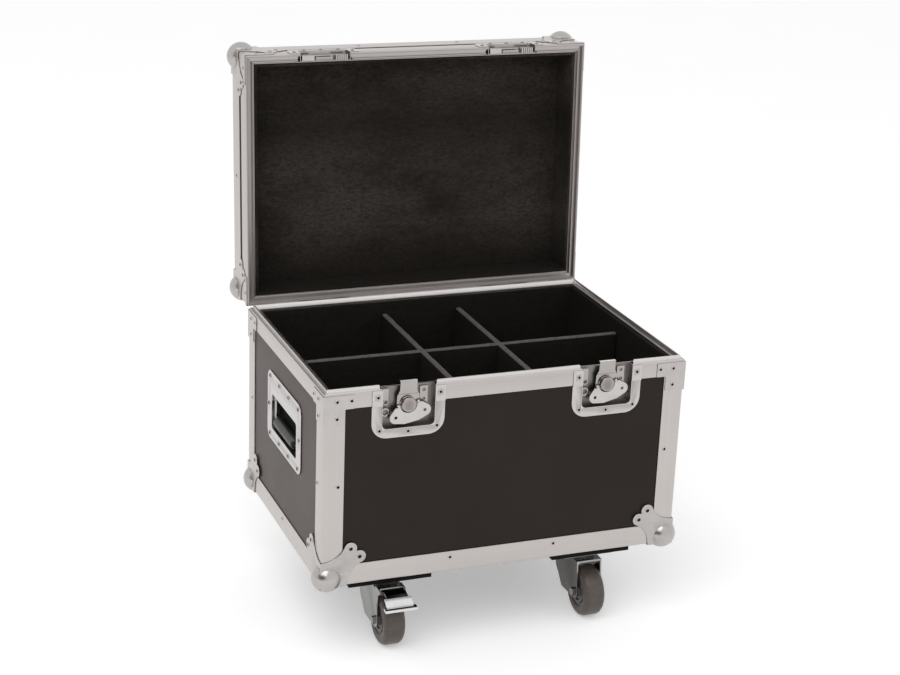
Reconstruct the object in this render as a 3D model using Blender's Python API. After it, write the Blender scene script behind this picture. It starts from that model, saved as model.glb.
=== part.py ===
# Lighting flight case on four castors, with its lid open. Metres, +Z up, front at -Y.

import math

import bmesh
import bpy
from mathutils import Matrix
from mathutils import Vector

# Case
WIDTH = 0.570
DEPTH = 0.398
BASE_HEIGHT = 0.3025
LID_HEIGHT = 0.082
LID_OPEN_DEG = 92.6
GAP = 0.0003
PANEL_THICK = 0.009

# Edge angles
EDGE_METAL = 0.0015
EDGE_FLANGE = 0.0325
EDGE_ROUND = 0.0025
LID_EDGE_FLANGE = 0.038

# Closing extrusions along the parting line
RIM_WIDTH = 0.014
RIM_METAL = 0.0015
RIM_WEB = 0.002
RIM_FLANGE = 0.0245
LID_RIM_FLANGE = 0.031
RIM_CHAMFER = 0.0012
INNER_METAL = 0.0017
INNER_DROP = 0.012
TONGUE_HEIGHT = 0.0052
TONGUE_WIDTH = 0.0048
TONGUE_TAPER = 0.0006
TONGUE_BEVEL = 0.0018
TONGUE_INSET = 0.0044
GROOVE_CLEARANCE = 0.0008
GROOVE_SPARE = 0.0004
GROOVE_ROOF = 0.0015
LID_LIP_WIDTH = 0.0112
LID_LIP_STEP = 0.005

# Foam and dividers
LINING_INSET = 0.0188
LINING_TOP_DROP = 0.003
FLOOR_FOAM = 0.008
LID_FOAM = 0.010
DIVIDER_THICK = 0.010
DIVIDER_DROP = 0.022
DIVIDER_X = 0.064
DIVIDER_GROOVE = 0.003

# Rivets
RIVET_RADIUS = 0.0034
RIVET_RISE = 0.0011
RIVET_SINK = 0.0006
RIVET_TOP_SHARE = 0.62
RIVET_SIDES = 6
EDGE_RIVET_INSET = 0.0235
POST_RIVET_DROP = 0.144
FRONT_RIVET_X = 0.084

# Ball corners
BALL_RADIUS = 0.0225
BALL_INSET = 0.0115
PLATE_METAL = 0.0013
PETAL_EDGE = 0.040
LOBE_NEAR = 0.0446
LOBE_FAR = 0.0583
LOBE_RADIUS = 0.010
NECK_SHARES = ((0.30, 1.07), (0.72, 1.40))
LOBE_TURNS_DEG = (165, 105, 45, -15)

# Corner braces on the closing extrusions
BRACE_ARM = 0.046
BRACE_POST_WIDTH = 0.0225
BRACE_POST_ARM = 0.048
BRACE_METAL = 0.0012
BRACE_TOP_DROP = 0.003
LID_BRACE_RISE = 0.0118
BRACE_RIVET_NEAR = 0.0195
BRACE_RIVET_FAR = 0.041
BRACE_RIVET_ROW = 0.012
LID_RIVET_ROW = 0.0076
BRACE_RIVET_LOW = 0.038

# Hinges
HINGE_SIDE_INSET = 0.128
HINGE_BACK = 0.0036
HINGE_DROP = 0.003
HINGE_WIDTH = 0.083
KNUCKLE_RADIUS = 0.0031
PIN_RADIUS = 0.0016
LID_KNUCKLE_SHARE = 0.36
LEAF_METAL = 0.0015
BASE_LEAF_DROP = 0.0242
LID_LEAF_RISE = 0.029
LEAF_RIVET_ROW = 0.0175
LEAF_RIVET_PITCH = 0.027
STOP_BACK = 0.0058
STOP_REACH = 0.0105

# Latches
LATCH_SIDE_INSET = 0.128
LATCH_FLANGE_WIDTH = 0.112
LATCH_FLANGE_DROP = 0.0765
LATCH_FLANGE_ROUND = 0.024
LATCH_FLANGE_METAL = 0.0012
LATCH_OPEN_WIDTH = 0.080
LATCH_OPEN_DROP = 0.0615
LATCH_OPEN_ROUND = 0.007
PAN_DEPTH = 0.0120
PAN_METAL = 0.0011
LATCH_RIVET_INSET = 0.0085
LATCH_RIVET_DROP = 0.0115
KEEPER_PAN_RISE = 0.020
KEEPER_FLANGE_RISE = 0.0300
KEEPER_FLANGE_ROUND = 0.009
KEEPER_HALF_WIDTH = 0.014
KEEPER_LOW = 0.0054
KEEPER_METAL = 0.0016
KEEPER_LEDGE = 0.0069

# Latch hook, cam and wing
CAM_DROP = 0.027
DISC_RADIUS = 0.0112
DISC_RISE = 0.0028
DISC_CHAMFER = 0.0006
STEM_RADIUS = 0.0040
CAM_RADIUS = 0.0060
CAM_OFFSET = 0.0012
CAM_FRONT = 0.0062
CAM_BACK = 0.0092
CROSS_PIN_RADIUS = 0.0010
CROSS_PIN_HALF = 0.0172
CROSS_PIN_DEPTH = 0.0010
HOOK_METAL = 0.0016
HOOK_DEPTH = 0.0050
HOOK_TOP = 0.0090
HOOK_TOP_WIDTH = 0.026
HOOK_WAIST_WIDTH = 0.034
HOOK_WAIST_DROP = 0.014
HOOK_FOOT_WIDTH = 0.030
HOOK_LIP = 0.0027
HOOK_HOLE_RADIUS = 0.0092
HOOK_PIVOT_DROP = 0.047
HOOK_PIVOT_DEPTH = 0.0073
HOOK_BARREL_RADIUS = 0.0022
HOOK_BARREL_HALF = 0.0165
HOOK_STUB_RADIUS = 0.0012
LUG_METAL = 0.0016
LUG_HALF_HEIGHT = 0.0032
HOOK_TILT_DEG = 3.5
WING_METAL = 0.0016
WING_DEPTH = 0.0002
WING_NOTCH_RADIUS = 0.0130
WING_LOBE_X = 0.0225
WING_LOBE_DROP = 0.0153
WING_LOBE_RADIUS = 0.0066
WING_LOW_EDGE = 0.0225
WING_EAR_INNER = 0.0136
WING_EAR_OUTER = 0.0170
WING_EAR_RISE = 0.0024
WING_HOLE_RADIUS = 0.0023
EAR_RADIUS = 0.0021
LEFT_WING_TURN_DEG = 11
RIGHT_WING_TURN_DEG = 14

# Side handles
HANDLE_FLANGE_WIDTH = 0.177
HANDLE_FLANGE_TOP_DROP = 0.061
HANDLE_FLANGE_HEIGHT = 0.112
HANDLE_FLANGE_ROUND = 0.015
HANDLE_OPEN_WIDTH = 0.131
HANDLE_OPEN_TOP_DROP = 0.0965
HANDLE_OPEN_HEIGHT = 0.0565
HANDLE_OPEN_ROUND = 0.005
HANDLE_PAN_DEPTH = 0.0175
HANDLE_PAN_METAL = 0.0012
HANDLE_FLANGE_METAL = 0.0015
HANDLE_RIVET_INSET = 0.0085
HANDLE_RIVET_SHARES = (-0.84, -0.28, 0.28, 0.84)
BAIL_PIVOT_DROP = 0.1035
BAIL_PIVOT_DEPTH = 0.0055
BAIL_ROD_RADIUS = 0.0028
BAIL_SIDE_ROOM = 0.0080
BAIL_STUB_ROOM = 0.0010
BAIL_ARM = 0.0335
BAIL_BEND = 0.008
GRIP_RADIUS = 0.0085
GRIP_SIDE_ROOM = 0.0175
GRIP_ROUND = 0.0015
HANDLE_LUG_METAL = 0.0018
HANDLE_LUG_RADIUS = 0.0047

# Castors
WHEEL_RADIUS = 0.040
WHEEL_WIDTH = 0.032
TREAD_ROUND = 0.006
HUB_RADIUS = 0.0235
HUB_RECESS = 0.003
HUB_BOSS_RADIUS = 0.009
HUB_HALF = 0.0172
AXLE_RADIUS = 0.0040
WHEEL_HEADROOM = 0.0098
CASTOR_TRAIL = 0.035
CASTOR_SIDE_INSET = 0.120
CASTOR_END_INSET = 0.076
PLATE_LENGTH = 0.078
PLATE_WIDTH = 0.092
PLATE_THICK = 0.0025
PLATE_ROUND = 0.008
BOLT_RADIUS = 0.0055
BOLT_RISE = 0.003
BOLT_INSET = 0.010
KINGPIN_RADIUS = 0.006
KINGPIN_HEAD_RADIUS = 0.0085
RACE_RADIUS = 0.021
RACE_DROP = 0.0045
CROWN_RADIUS = 0.0255
CROWN_METAL = 0.0035
CROWN_DROP = 0.0078
LEG_METAL = 0.0025
LEG_INSIDE = 0.0186
LEG_REAR = 0.042
LEG_REAR_SHARES = ((0.955, 0.62), (0.81, 0.505), (0.60, 0.427), (0.26, 0.272))
LEG_FOOT_RADIUS = 0.0115
AXLE_NUT_RADIUS = 0.0065
AXLE_NUT_THICK = 0.0045
BOARD_WIDTH = 0.131
BOARD_BELOW = 0.0235
BOARD_END = 0.033

# Brake pedal
PEDAL_PIVOT_FORWARD = 0.017
PEDAL_PIVOT_DROP = 0.0105
PEDAL_PIN_RADIUS = 0.0022
PEDAL_SLEEVE_RADIUS = 0.0044
PEDAL_HALF = 0.0168
PEDAL_TONGUE_HALF = 0.021
PEDAL_LIP_HALF = 0.025
PEDAL_METAL = 0.0022
PEDAL_BROW = 0.024
PEDAL_BROW_RISE = 0.0035
PEDAL_REACH = 0.036
PEDAL_SLOPE = 0.010
PEDAL_LIP = 0.009
PEDAL_LIP_DROP = 0.002

# Segments of the round forms
ROUND_STEPS = 3
BALL_STEPS = 14
TUBE_STEPS = 8
WHEEL_STEPS = 24

# Sizes that follow from the ones above
CROWN_SEAT = PLATE_THICK + CROWN_DROP - GAP * 2
CASTOR_HEIGHT = WHEEL_RADIUS * 2 + WHEEL_HEADROOM + CROWN_METAL + CROWN_SEAT
BASE_LOW = CASTOR_HEIGHT + BOARD_BELOW
PARTING = BASE_LOW + BASE_HEIGHT
LID_TOP = PARTING + LID_HEIGHT
FRONT = -DEPTH / 2
BACK = DEPTH / 2
SIDE = WIDTH / 2
HINGE_X = SIDE - HINGE_SIDE_INSET
BAIL_HALF_WIDTH = HANDLE_OPEN_WIDTH / 2 - BAIL_SIDE_ROOM
BAIL_STUB_HALF = HANDLE_OPEN_WIDTH / 2 - BAIL_STUB_ROOM
GRIP_HALF = HANDLE_OPEN_WIDTH / 2 - GRIP_SIDE_ROOM
LATCH_X = SIDE - LATCH_SIDE_INSET
CASTOR_X = SIDE - CASTOR_SIDE_INSET
CASTOR_Y = BACK - CASTOR_END_INSET
PANEL_OUT = EDGE_METAL + GAP
PANEL_IN = PANEL_OUT + PANEL_THICK
LINING_OUT = PANEL_IN + GAP
LINING_NECK = RIM_WIDTH + GAP
FLOOR_TOP = BASE_LOW + PANEL_IN
FOAM_FLOOR = FLOOR_TOP + GAP + FLOOR_FOAM
LID_WEB = TONGUE_HEIGHT + GROOVE_SPARE + GROOVE_ROOF
LID_FOAM_ROOF = LID_TOP - PANEL_IN - GAP - LID_FOAM
HINGE_Y = BACK + HINGE_BACK
HINGE_Z = PARTING - HINGE_DROP
PIN_BORE = PIN_RADIUS + GAP
WHEEL_BORE = AXLE_RADIUS + GAP
OPEN = math.radians(LID_OPEN_DEG)
REAR_REACH = HINGE_Y - (DEPTH + HINGE_BACK - BALL_INSET) * math.cos(OPEN)
REAR_REACH += (LID_HEIGHT + HINGE_DROP - BALL_INSET) * math.sin(OPEN) + BALL_RADIUS
FRONT_REACH = CASTOR_Y + CASTOR_TRAIL + PEDAL_PIVOT_FORWARD + PEDAL_REACH + PEDAL_LIP
SHIFT_Y = (FRONT_REACH - REAR_REACH) / 2

METALS = {
    "aluminium": ((0.72, 0.71, 0.69), 1.0, 0.35),
    "steel": ((0.62, 0.62, 0.62), 1.0, 0.3),
    "zinc": ((0.35, 0.35, 0.35), 1.0, 0.45),
}
PLAINS = {
    "laminate": ((0.03, 0.026, 0.025), 0.0, 0.5),
    "foam": ((0.012, 0.011, 0.010), 0.0, 0.95),
    "birch": ((0.02, 0.018, 0.016), 0.0, 0.8),
    "rubber": ((0.015, 0.015, 0.015), 0.0, 0.7),
    "tyre": ((0.16, 0.14, 0.13), 0.0, 0.65),
}


def solid(points, faces):
    """A closed mesh object from points and faces, turned to face outwards."""
    mesh = bpy.data.meshes.new("solid")
    mesh.from_pydata(points, [], faces)
    form = bmesh.new()
    form.from_mesh(mesh)
    bmesh.ops.recalc_face_normals(form, faces=form.faces)
    if form.calc_volume(signed=True) < 0:
        bmesh.ops.reverse_faces(form, faces=form.faces)
    form.to_mesh(mesh)
    form.free()
    made = bpy.data.objects.new("solid", mesh)
    bpy.context.scene.collection.objects.link(made)
    return made


def block(low, high):
    """A box between two corners."""
    x0, y0, z0 = low
    x1, y1, z1 = high
    return prism([(x0, y0), (x1, y0), (x1, y1), (x0, y1)], z0, z1, "z")


def placed(u, v, along, axis):
    """A point from its outline coordinates and its place along the axis."""
    if axis == "x":
        return (along, u, v)
    if axis == "y":
        return (u, along, v)
    return (u, v, along)


def prism(outline, low, high, axis):
    """An outline carried from low to high along x, y or z."""
    count = len(outline)
    points = [placed(u, v, low, axis) for u, v in outline]
    points += [placed(u, v, high, axis) for u, v in outline]
    faces = [tuple(range(count)), tuple(range(2 * count - 1, count - 1, -1))]
    for i in range(count):
        j = (i + 1) % count
        faces.append((i, j, j + count, i + count))
    return solid(points, faces)


def circle(u, v, radius, steps, turn=0.0):
    """The points of a circle in an outline plane."""
    points = []
    for i in range(steps):
        angle = turn + 2 * math.pi * i / steps
        points.append((u + radius * math.cos(angle), v + radius * math.sin(angle)))
    return points


def rod(u, v, radius, low, high, axis, steps=TUBE_STEPS):
    """A round bar along x, y or z."""
    return prism(circle(u, v, radius, steps), low, high, axis)


def rounded(corners, radii, steps=ROUND_STEPS):
    """An outline whose corners are rounded by the radius given for each."""
    points = []
    count = len(corners)
    for i, radius in enumerate(radii):
        here = Vector(corners[i])
        before = (Vector(corners[i - 1]) - here).normalized()
        after = (Vector(corners[(i + 1) % count]) - here).normalized()
        if radius == 0:
            points.append(tuple(here))
            continue
        half = before.angle(after) / 2
        reach = radius / math.tan(half)
        middle = here + (before + after).normalized() * radius / math.sin(half)
        start = here + before * reach - middle
        end = here + after * reach - middle
        turn = start.angle_signed(end)
        for step in range(steps + 1):
            angle = -turn * step / steps
            swung = Matrix.Rotation(angle, 2) @ start
            points.append(tuple(middle + swung))
    return points


def rectangle(u0, v0, u1, v1):
    """The corners of an upright rectangle, counter-clockwise."""
    return [(u0, v0), (u1, v0), (u1, v1), (u0, v1)]


def lathe(profile, steps, axis, centre):
    """A closed profile of (radius, along) points turned about an axis through the centre."""
    points = []
    faces = []
    count = len(profile)
    for i in range(steps):
        angle = 2 * math.pi * i / steps
        for radius, along in profile:
            u = radius * math.cos(angle)
            v = radius * math.sin(angle)
            point = Vector(placed(u, v, along, axis)) + Vector(centre)
            points.append(tuple(point))
    for i in range(steps):
        j = (i + 1) % steps
        for a in range(count):
            b = (a + 1) % count
            faces.append((i * count + a, i * count + b, j * count + b, j * count + a))
    return solid(points, faces)


def turned(profile, steps, axis, centre):
    """An open profile that starts and ends on the axis, turned into a solid."""
    points = []
    faces = []
    inner = profile[1:-1]
    count = len(inner)
    for i in range(steps):
        angle = 2 * math.pi * i / steps
        for radius, along in inner:
            u = radius * math.cos(angle)
            v = radius * math.sin(angle)
            point = Vector(placed(u, v, along, axis)) + Vector(centre)
            points.append(tuple(point))
    first = len(points)
    for radius, along in (profile[0], profile[-1]):
        points.append(tuple(Vector(placed(0, 0, along, axis)) + Vector(centre)))
    for i in range(steps):
        j = (i + 1) % steps
        for a in range(count - 1):
            faces.append((i * count + a, i * count + a + 1, j * count + a + 1, j * count + a))
        faces.append((first, i * count, j * count))
        faces.append((first + 1, j * count + count - 1, i * count + count - 1))
    return solid(points, faces)


def ball(centre, radius, steps=BALL_STEPS):
    """A sphere whose poles lie along z."""
    profile = []
    rings = steps // 2
    for i in range(rings + 1):
        angle = math.pi * i / rings
        profile.append((radius * math.sin(angle), -radius * math.cos(angle)))
    return turned(profile, steps, "z", centre)


def tube(path, radius, steps=TUBE_STEPS):
    """A round rod swept along a flat path with closed ends."""
    points = []
    faces = []
    count = len(path)
    side = None
    for i, here in enumerate(path):
        ahead = (path[min(i + 1, count - 1)] - path[max(i - 1, 0)]).normalized()
        if side is None:
            side = ahead.orthogonal().normalized()
        side = (side - ahead * side.dot(ahead)).normalized()
        other = ahead.cross(side)
        for step in range(steps):
            angle = 2 * math.pi * step / steps
            points.append(tuple(here + (side * math.cos(angle) + other * math.sin(angle)) * radius))
    for i in range(count - 1):
        for step in range(steps):
            after = (step + 1) % steps
            faces.append(
                (i * steps + step, i * steps + after, (i + 1) * steps + after, (i + 1) * steps + step)
            )
    faces.append(tuple(range(steps - 1, -1, -1)))
    faces.append(tuple(range((count - 1) * steps, count * steps)))
    return solid(points, faces)


def ring(profile, half_x, half_y):
    """A closed profile of (inset, height) points carried round a rectangle with mitred corners."""
    points = []
    faces = []
    count = len(profile)
    for sx, sy in ((-1, -1), (1, -1), (1, 1), (-1, 1)):
        for inset, height in profile:
            points.append((sx * (half_x - inset), sy * (half_y - inset), height))
    for i in range(4):
        j = (i + 1) % 4
        for a in range(count):
            b = (a + 1) % count
            faces.append((i * count + a, i * count + b, j * count + b, j * count + a))
    return solid(points, faces)


def boolean(base, other, operation):
    """The base joined with or cut by the other, which is used up."""
    modifier = base.modifiers.new("boolean", "BOOLEAN")
    modifier.operation = operation
    modifier.solver = "EXACT"
    modifier.object = other
    graph = bpy.context.evaluated_depsgraph_get()
    mesh = bpy.data.meshes.new_from_object(base.evaluated_get(graph))
    base.modifiers.clear()
    base.data = mesh
    bpy.data.objects.remove(other)
    return base


def joined(base, *others):
    """One body made of overlapping bodies."""
    for other in others:
        boolean(base, other, "UNION")
    return base


def carved(base, *cutters):
    """The base with the cutters taken out of it."""
    for cutter in cutters:
        boolean(base, cutter, "DIFFERENCE")
    return base


def moved(piece, matrix):
    """The piece with its mesh carried by a matrix."""
    piece.data.transform(matrix)
    if matrix.determinant() < 0:
        piece.data.flip_normals()
    return piece


def copied(piece):
    """A second object with its own copy of the mesh."""
    twin = bpy.data.objects.new("solid", piece.data.copy())
    bpy.context.scene.collection.objects.link(twin)
    return twin


def mirrored(piece):
    """A copy mirrored across the middle of the case."""
    return moved(copied(piece), Matrix.Diagonal((-1, 1, 1, 1)))


def rivet(place, outward, sink=RIVET_SINK):
    """A low riveted head that stands out of a face."""
    base = circle(0, 0, RIVET_RADIUS, RIVET_SIDES)
    top = circle(0, 0, RIVET_RADIUS * RIVET_TOP_SHARE, RIVET_SIDES)
    rings = ((base, -sink), (top, RIVET_RISE))
    points = []
    faces = []
    for outline, height in rings:
        points += [(u, v, height) for u, v in outline]
    for i in range(RIVET_SIDES):
        j = (i + 1) % RIVET_SIDES
        faces.append((i, j, RIVET_SIDES + j, RIVET_SIDES + i))
    faces.append(tuple(range(RIVET_SIDES)))
    faces.append(tuple(range(RIVET_SIDES, 2 * RIVET_SIDES)))
    head = solid(points, faces)
    facing = Vector(outward).to_track_quat("Z", "Y").to_matrix().to_4x4()
    return moved(head, Matrix.Translation(place) @ facing)


def material(name, colour, metallic, roughness):
    """A named Principled material."""
    made = bpy.data.materials.new(name)
    made.use_nodes = True
    shader = made.node_tree.nodes["Principled BSDF"]
    shader.inputs["Base Color"].default_value = (*colour, 1)
    shader.inputs["Metallic"].default_value = metallic
    shader.inputs["Roughness"].default_value = roughness
    made.diffuse_color = (*colour, 1)
    return made


def holder(name, parent, place):
    """An empty that carries pieces and marks a joint."""
    empty = bpy.data.objects.new(name, None)
    bpy.context.scene.collection.objects.link(empty)
    empty.parent = parent
    empty.location = place
    return empty


def named(piece, name, look, parent, origin=(0, 0, 0)):
    """The finished piece under its parent, with its mesh measured from the given origin."""
    piece.data.transform(Matrix.Translation(-Vector(origin)))
    piece.name = name
    piece.data.name = name
    colour, metallic, roughness = {**METALS, **PLAINS}[look]
    piece.data.materials.clear()
    piece.data.materials.append(material(name, colour, metallic, roughness))
    piece.data.shade_smooth()
    piece.data.set_sharp_from_angle(angle=math.radians(32))
    piece.parent = parent
    return piece


def edge_shell(low, high, sign, side_flange, cap_flange):
    """Edge angles as one frame: posts and a ring round the closed end. The sign points to that end."""
    outer = block((-SIDE, FRONT, low), (SIDE, BACK, high))
    form = bmesh.new()
    form.from_mesh(outer.data)
    end = high if sign > 0 else low
    kept = []
    for edge in form.edges:
        levels = [abs(vertex.co.z - end) < GAP for vertex in edge.verts]
        if any(levels):
            kept.append(edge)
    bmesh.ops.bevel(form, geom=kept, offset=EDGE_ROUND, segments=3, profile=0.5, affect="EDGES")
    form.to_mesh(outer.data)
    form.free()
    inset = EDGE_METAL
    inner_low = low - inset if sign > 0 else low + inset
    inner_high = high - inset if sign > 0 else high + inset
    inner = block((-SIDE + inset, FRONT + inset, inner_low), (SIDE - inset, BACK - inset, inner_high))
    window_low = low - inset if sign > 0 else low + side_flange
    window_high = high - side_flange if sign > 0 else high + inset
    post = EDGE_FLANGE
    across = block((-SIDE + post, FRONT - inset, window_low), (SIDE - post, BACK + inset, window_high))
    along = block((-SIDE - inset, FRONT + post, window_low), (SIDE + inset, BACK - post, window_high))
    cap = block(
        (-SIDE + cap_flange, FRONT + cap_flange, low - inset if sign < 0 else high - post),
        (SIDE - cap_flange, BACK - cap_flange, low + post if sign < 0 else high + inset),
    )
    return carved(outer, inner, across, along, cap)


def edge_rivets(level, frame, with_posts):
    """Rivets along the edge frame: two on each long side, one on each end and one on each post face."""
    heads = []
    for y, outward in ((FRONT, (0, -1, 0)), (BACK, (0, 1, 0))):
        for x in (-FRONT_RIVET_X, FRONT_RIVET_X):
            heads.append(rivet((x, y, level), outward))
    for x, outward in ((-SIDE, (-1, 0, 0)), (SIDE, (1, 0, 0))):
        heads.append(rivet((x, 0, level), outward))
    if with_posts:
        height = PARTING - POST_RIVET_DROP
        for sx in (-1, 1):
            for sy in (-1, 1):
                heads.append(rivet((sx * (SIDE - EDGE_RIVET_INSET), sy * BACK, height), (0, sy, 0)))
                heads.append(rivet((sx * SIDE, sy * (BACK - EDGE_RIVET_INSET), height), (sx, 0, 0)))
    return joined(frame, *heads)


def latch_cutter(low, high, depth, spare=GAP):
    """Room for a latch or keeper pan through the front wall."""
    half = LATCH_OPEN_WIDTH / 2 + PAN_METAL + spare
    return block((-half, FRONT - EDGE_FLANGE, low - spare), (half, FRONT + depth + spare, high + spare))


def at_latches(cutter):
    """The cutter at both latches."""
    pair = []
    for x in (-LATCH_X, LATCH_X):
        pair.append(moved(copied(cutter), Matrix.Translation((x, 0, 0))))
    bpy.data.objects.remove(cutter)
    return pair


def handle_cutter(spare):
    """Room for a handle pan through both side walls."""
    half = HANDLE_OPEN_WIDTH / 2 + HANDLE_PAN_METAL + spare
    top = PARTING - HANDLE_OPEN_TOP_DROP + HANDLE_PAN_METAL + spare
    low = PARTING - HANDLE_OPEN_TOP_DROP - HANDLE_OPEN_HEIGHT - HANDLE_PAN_METAL - spare
    left = block((-SIDE - EDGE_FLANGE, -half, low), (-SIDE + HANDLE_PAN_DEPTH + spare, half, top))
    return left, mirrored(left)


# Clear the scene
for old in list(bpy.data.objects):
    bpy.data.objects.remove(old, do_unlink=True)

root = holder("case", None, (0, SHIFT_Y, 0))
hinge_line = holder("lid_hinge_line", root, (0, HINGE_Y, HINGE_Z))
hinge_line.rotation_euler = (-OPEN, 0, 0)
LID_ORIGIN = (0, HINGE_Y, HINGE_Z)

# Base panels
wall_low = FLOOR_TOP + GAP
wall_top = PARTING - RIM_WEB - GAP
pan_low = PARTING - LATCH_OPEN_DROP - PAN_METAL
front = block(
    (-SIDE + PANEL_OUT, FRONT + PANEL_OUT, wall_low),
    (SIDE - PANEL_OUT, FRONT + PANEL_IN, wall_top),
)
carved(front, *at_latches(latch_cutter(pan_low, PARTING, PAN_DEPTH)))
named(front, "front_panel", "laminate", root)
back = block((-SIDE + PANEL_OUT, BACK - PANEL_IN, wall_low), (SIDE - PANEL_OUT, BACK - PANEL_OUT, wall_top))
named(back, "back_panel", "laminate", root)
left = block(
    (-SIDE + PANEL_OUT, FRONT + PANEL_IN + GAP, wall_low),
    (-SIDE + PANEL_IN, BACK - PANEL_IN - GAP, wall_top),
)
left_room, right_room = handle_cutter(GAP)
right = mirrored(left)
carved(left, left_room)
carved(right, right_room)
named(left, "left_panel", "laminate", root)
named(right, "right_panel", "laminate", root)
floor = block(
    (-SIDE + PANEL_OUT, FRONT + PANEL_OUT, BASE_LOW + PANEL_OUT),
    (SIDE - PANEL_OUT, BACK - PANEL_OUT, FLOOR_TOP),
)
named(floor, "floor_panel", "birch", root)

# Base edge angles
frame = edge_shell(BASE_LOW, PARTING - RIM_FLANGE - GAP, -1, EDGE_FLANGE, EDGE_FLANGE)
edge_rivets(BASE_LOW + EDGE_RIVET_INSET, frame, True)
named(frame, "base_edge_angles", "aluminium", root)

# Base closing extrusion, with its corner braces riveted on
inner_face = RIM_WIDTH - INNER_METAL
tongue_end = TONGUE_INSET + TONGUE_WIDTH
rim_profile = [
    (0, -RIM_FLANGE),
    (0, -RIM_CHAMFER),
    (RIM_CHAMFER, 0),
    (TONGUE_INSET, 0),
    (TONGUE_INSET + TONGUE_TAPER, TONGUE_HEIGHT),
    (tongue_end - TONGUE_BEVEL, TONGUE_HEIGHT),
    (tongue_end, 0),
    (RIM_WIDTH, 0),
    (RIM_WIDTH, -INNER_DROP),
    (inner_face, -INNER_DROP),
    (inner_face, -RIM_WEB),
    (RIM_METAL, -RIM_WEB),
    (RIM_METAL, -RIM_FLANGE),
]
rim = ring([(inset, PARTING + height) for inset, height in rim_profile], SIDE, BACK)
carved(rim, *at_latches(latch_cutter(pan_low, PARTING + RIM_FLANGE, inner_face - GAP)))


def brace(sx, sy, high, low, post_low):
    """A corner brace on both faces of one upright edge."""
    out = GAP + BRACE_METAL
    arm = BRACE_ARM
    post = BRACE_POST_WIDTH
    outline = rectangle(-out, low, arm, high)
    if post_low < low:
        outline = [(-out, post_low), (post, post_low), (post, low), (arm, low), (arm, high), (-out, high)]
    along = prism([(sx * (SIDE - u), v) for u, v in outline], sy * (BACK + GAP), sy * (BACK + out), "y")
    across = prism([(sy * (BACK - u), v) for u, v in outline], sx * (SIDE + GAP), sx * (SIDE + out), "x")
    return joined(along, across)


def brace_rivets(sx, sy, row, low_row):
    """The rivets of one brace. The ones near the edge reach into the extrusion and hold the brace on it."""
    out = GAP + BRACE_METAL
    heads = []
    for inset, sink in ((BRACE_RIVET_NEAR, out + RIVET_SINK), (BRACE_RIVET_FAR, RIVET_SINK)):
        heads.append(rivet((sx * (SIDE - inset), sy * (BACK + out), row), (0, sy, 0), sink))
        heads.append(rivet((sx * (SIDE + out), sy * (BACK - inset), row), (sx, 0, 0), sink))
    if low_row:
        inset = BRACE_POST_WIDTH / 2
        heads.append(rivet((sx * (SIDE - inset), sy * (BACK + out), low_row), (0, sy, 0)))
        heads.append(rivet((sx * (SIDE + out), sy * (BACK - inset), low_row), (sx, 0, 0)))
    return heads


for sx in (-1, 1):
    for sy in (-1, 1):
        plate = brace(sx, sy, PARTING - BRACE_TOP_DROP, PARTING - RIM_FLANGE, PARTING - BRACE_POST_ARM)
        heads = brace_rivets(sx, sy, PARTING - BRACE_RIVET_ROW, PARTING - BRACE_RIVET_LOW)
        joined(rim, joined(plate, *heads))
named(rim, "base_rim", "aluminium", root)


def petal():
    """The outline of one riveted plate of a ball corner, from the corner outwards."""
    half = [(PETAL_EDGE * a, PETAL_EDGE * b) for a, b in NECK_SHARES]
    for turn in LOBE_TURNS_DEG:
        angle = math.radians(turn)
        half.append((LOBE_NEAR + LOBE_RADIUS * math.cos(angle), LOBE_FAR + LOBE_RADIUS * math.sin(angle)))
    out = GAP + PLATE_METAL
    first = [(-out, -out), (-out, PETAL_EDGE), (0, PETAL_EDGE)] + half
    second = [(v, u) for u, v in reversed(first[1:])]
    return first + second


def ball_corner(end, sign):
    """A ball corner for the left front edge. The sign points to the closed end of the shell."""
    out = GAP + PLATE_METAL
    outline = petal()
    low = end - sign * (PETAL_EDGE + LOBE_FAR)
    centre = (-SIDE + BALL_INSET, FRONT + BALL_INSET, end - sign * BALL_INSET)
    knob = ball(centre, BALL_RADIUS)
    inside = PLATE_METAL
    plates = [
        prism([(-SIDE + u, end - sign * v) for u, v in outline], FRONT - out, FRONT + inside, "y"),
        prism([(FRONT + u, end - sign * v) for u, v in outline], -SIDE - out, -SIDE + inside, "x"),
        prism([(-SIDE + u, FRONT + v) for u, v in outline], end - sign * inside, end + sign * out, "z"),
    ]
    heads = []
    for u, v in ((LOBE_NEAR, LOBE_FAR), (LOBE_FAR, LOBE_NEAR)):
        heads.append(rivet((-SIDE + u, FRONT - out, end - sign * v), (0, -1, 0)))
        heads.append(rivet((-SIDE - out, FRONT + u, end - sign * v), (-1, 0, 0)))
        heads.append(rivet((-SIDE + u, FRONT + v, end + sign * out), (0, 0, sign)))
    room = block(
        (-SIDE - GAP, FRONT - GAP, min(low, end + sign * GAP)),
        (-SIDE + PETAL_EDGE * 2, FRONT + PETAL_EDGE * 2, max(low, end + sign * GAP)),
    )
    return joined(carved(joined(knob, *plates), room), *heads)


def four_corners(first, group, parent, origin):
    """The left front ball corner and its three mirror images."""
    turn_back = Matrix.Diagonal((1, -1, 1, 1))
    rear = moved(copied(first), turn_back)
    pieces = (
        ("front_left", first),
        ("front_right", mirrored(first)),
        ("rear_left", rear),
        ("rear_right", mirrored(rear)),
    )
    for place, piece in pieces:
        named(piece, group + "_" + place, "aluminium", parent, origin)


four_corners(ball_corner(BASE_LOW, -1), "base_corner", root, (0, 0, 0))

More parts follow.
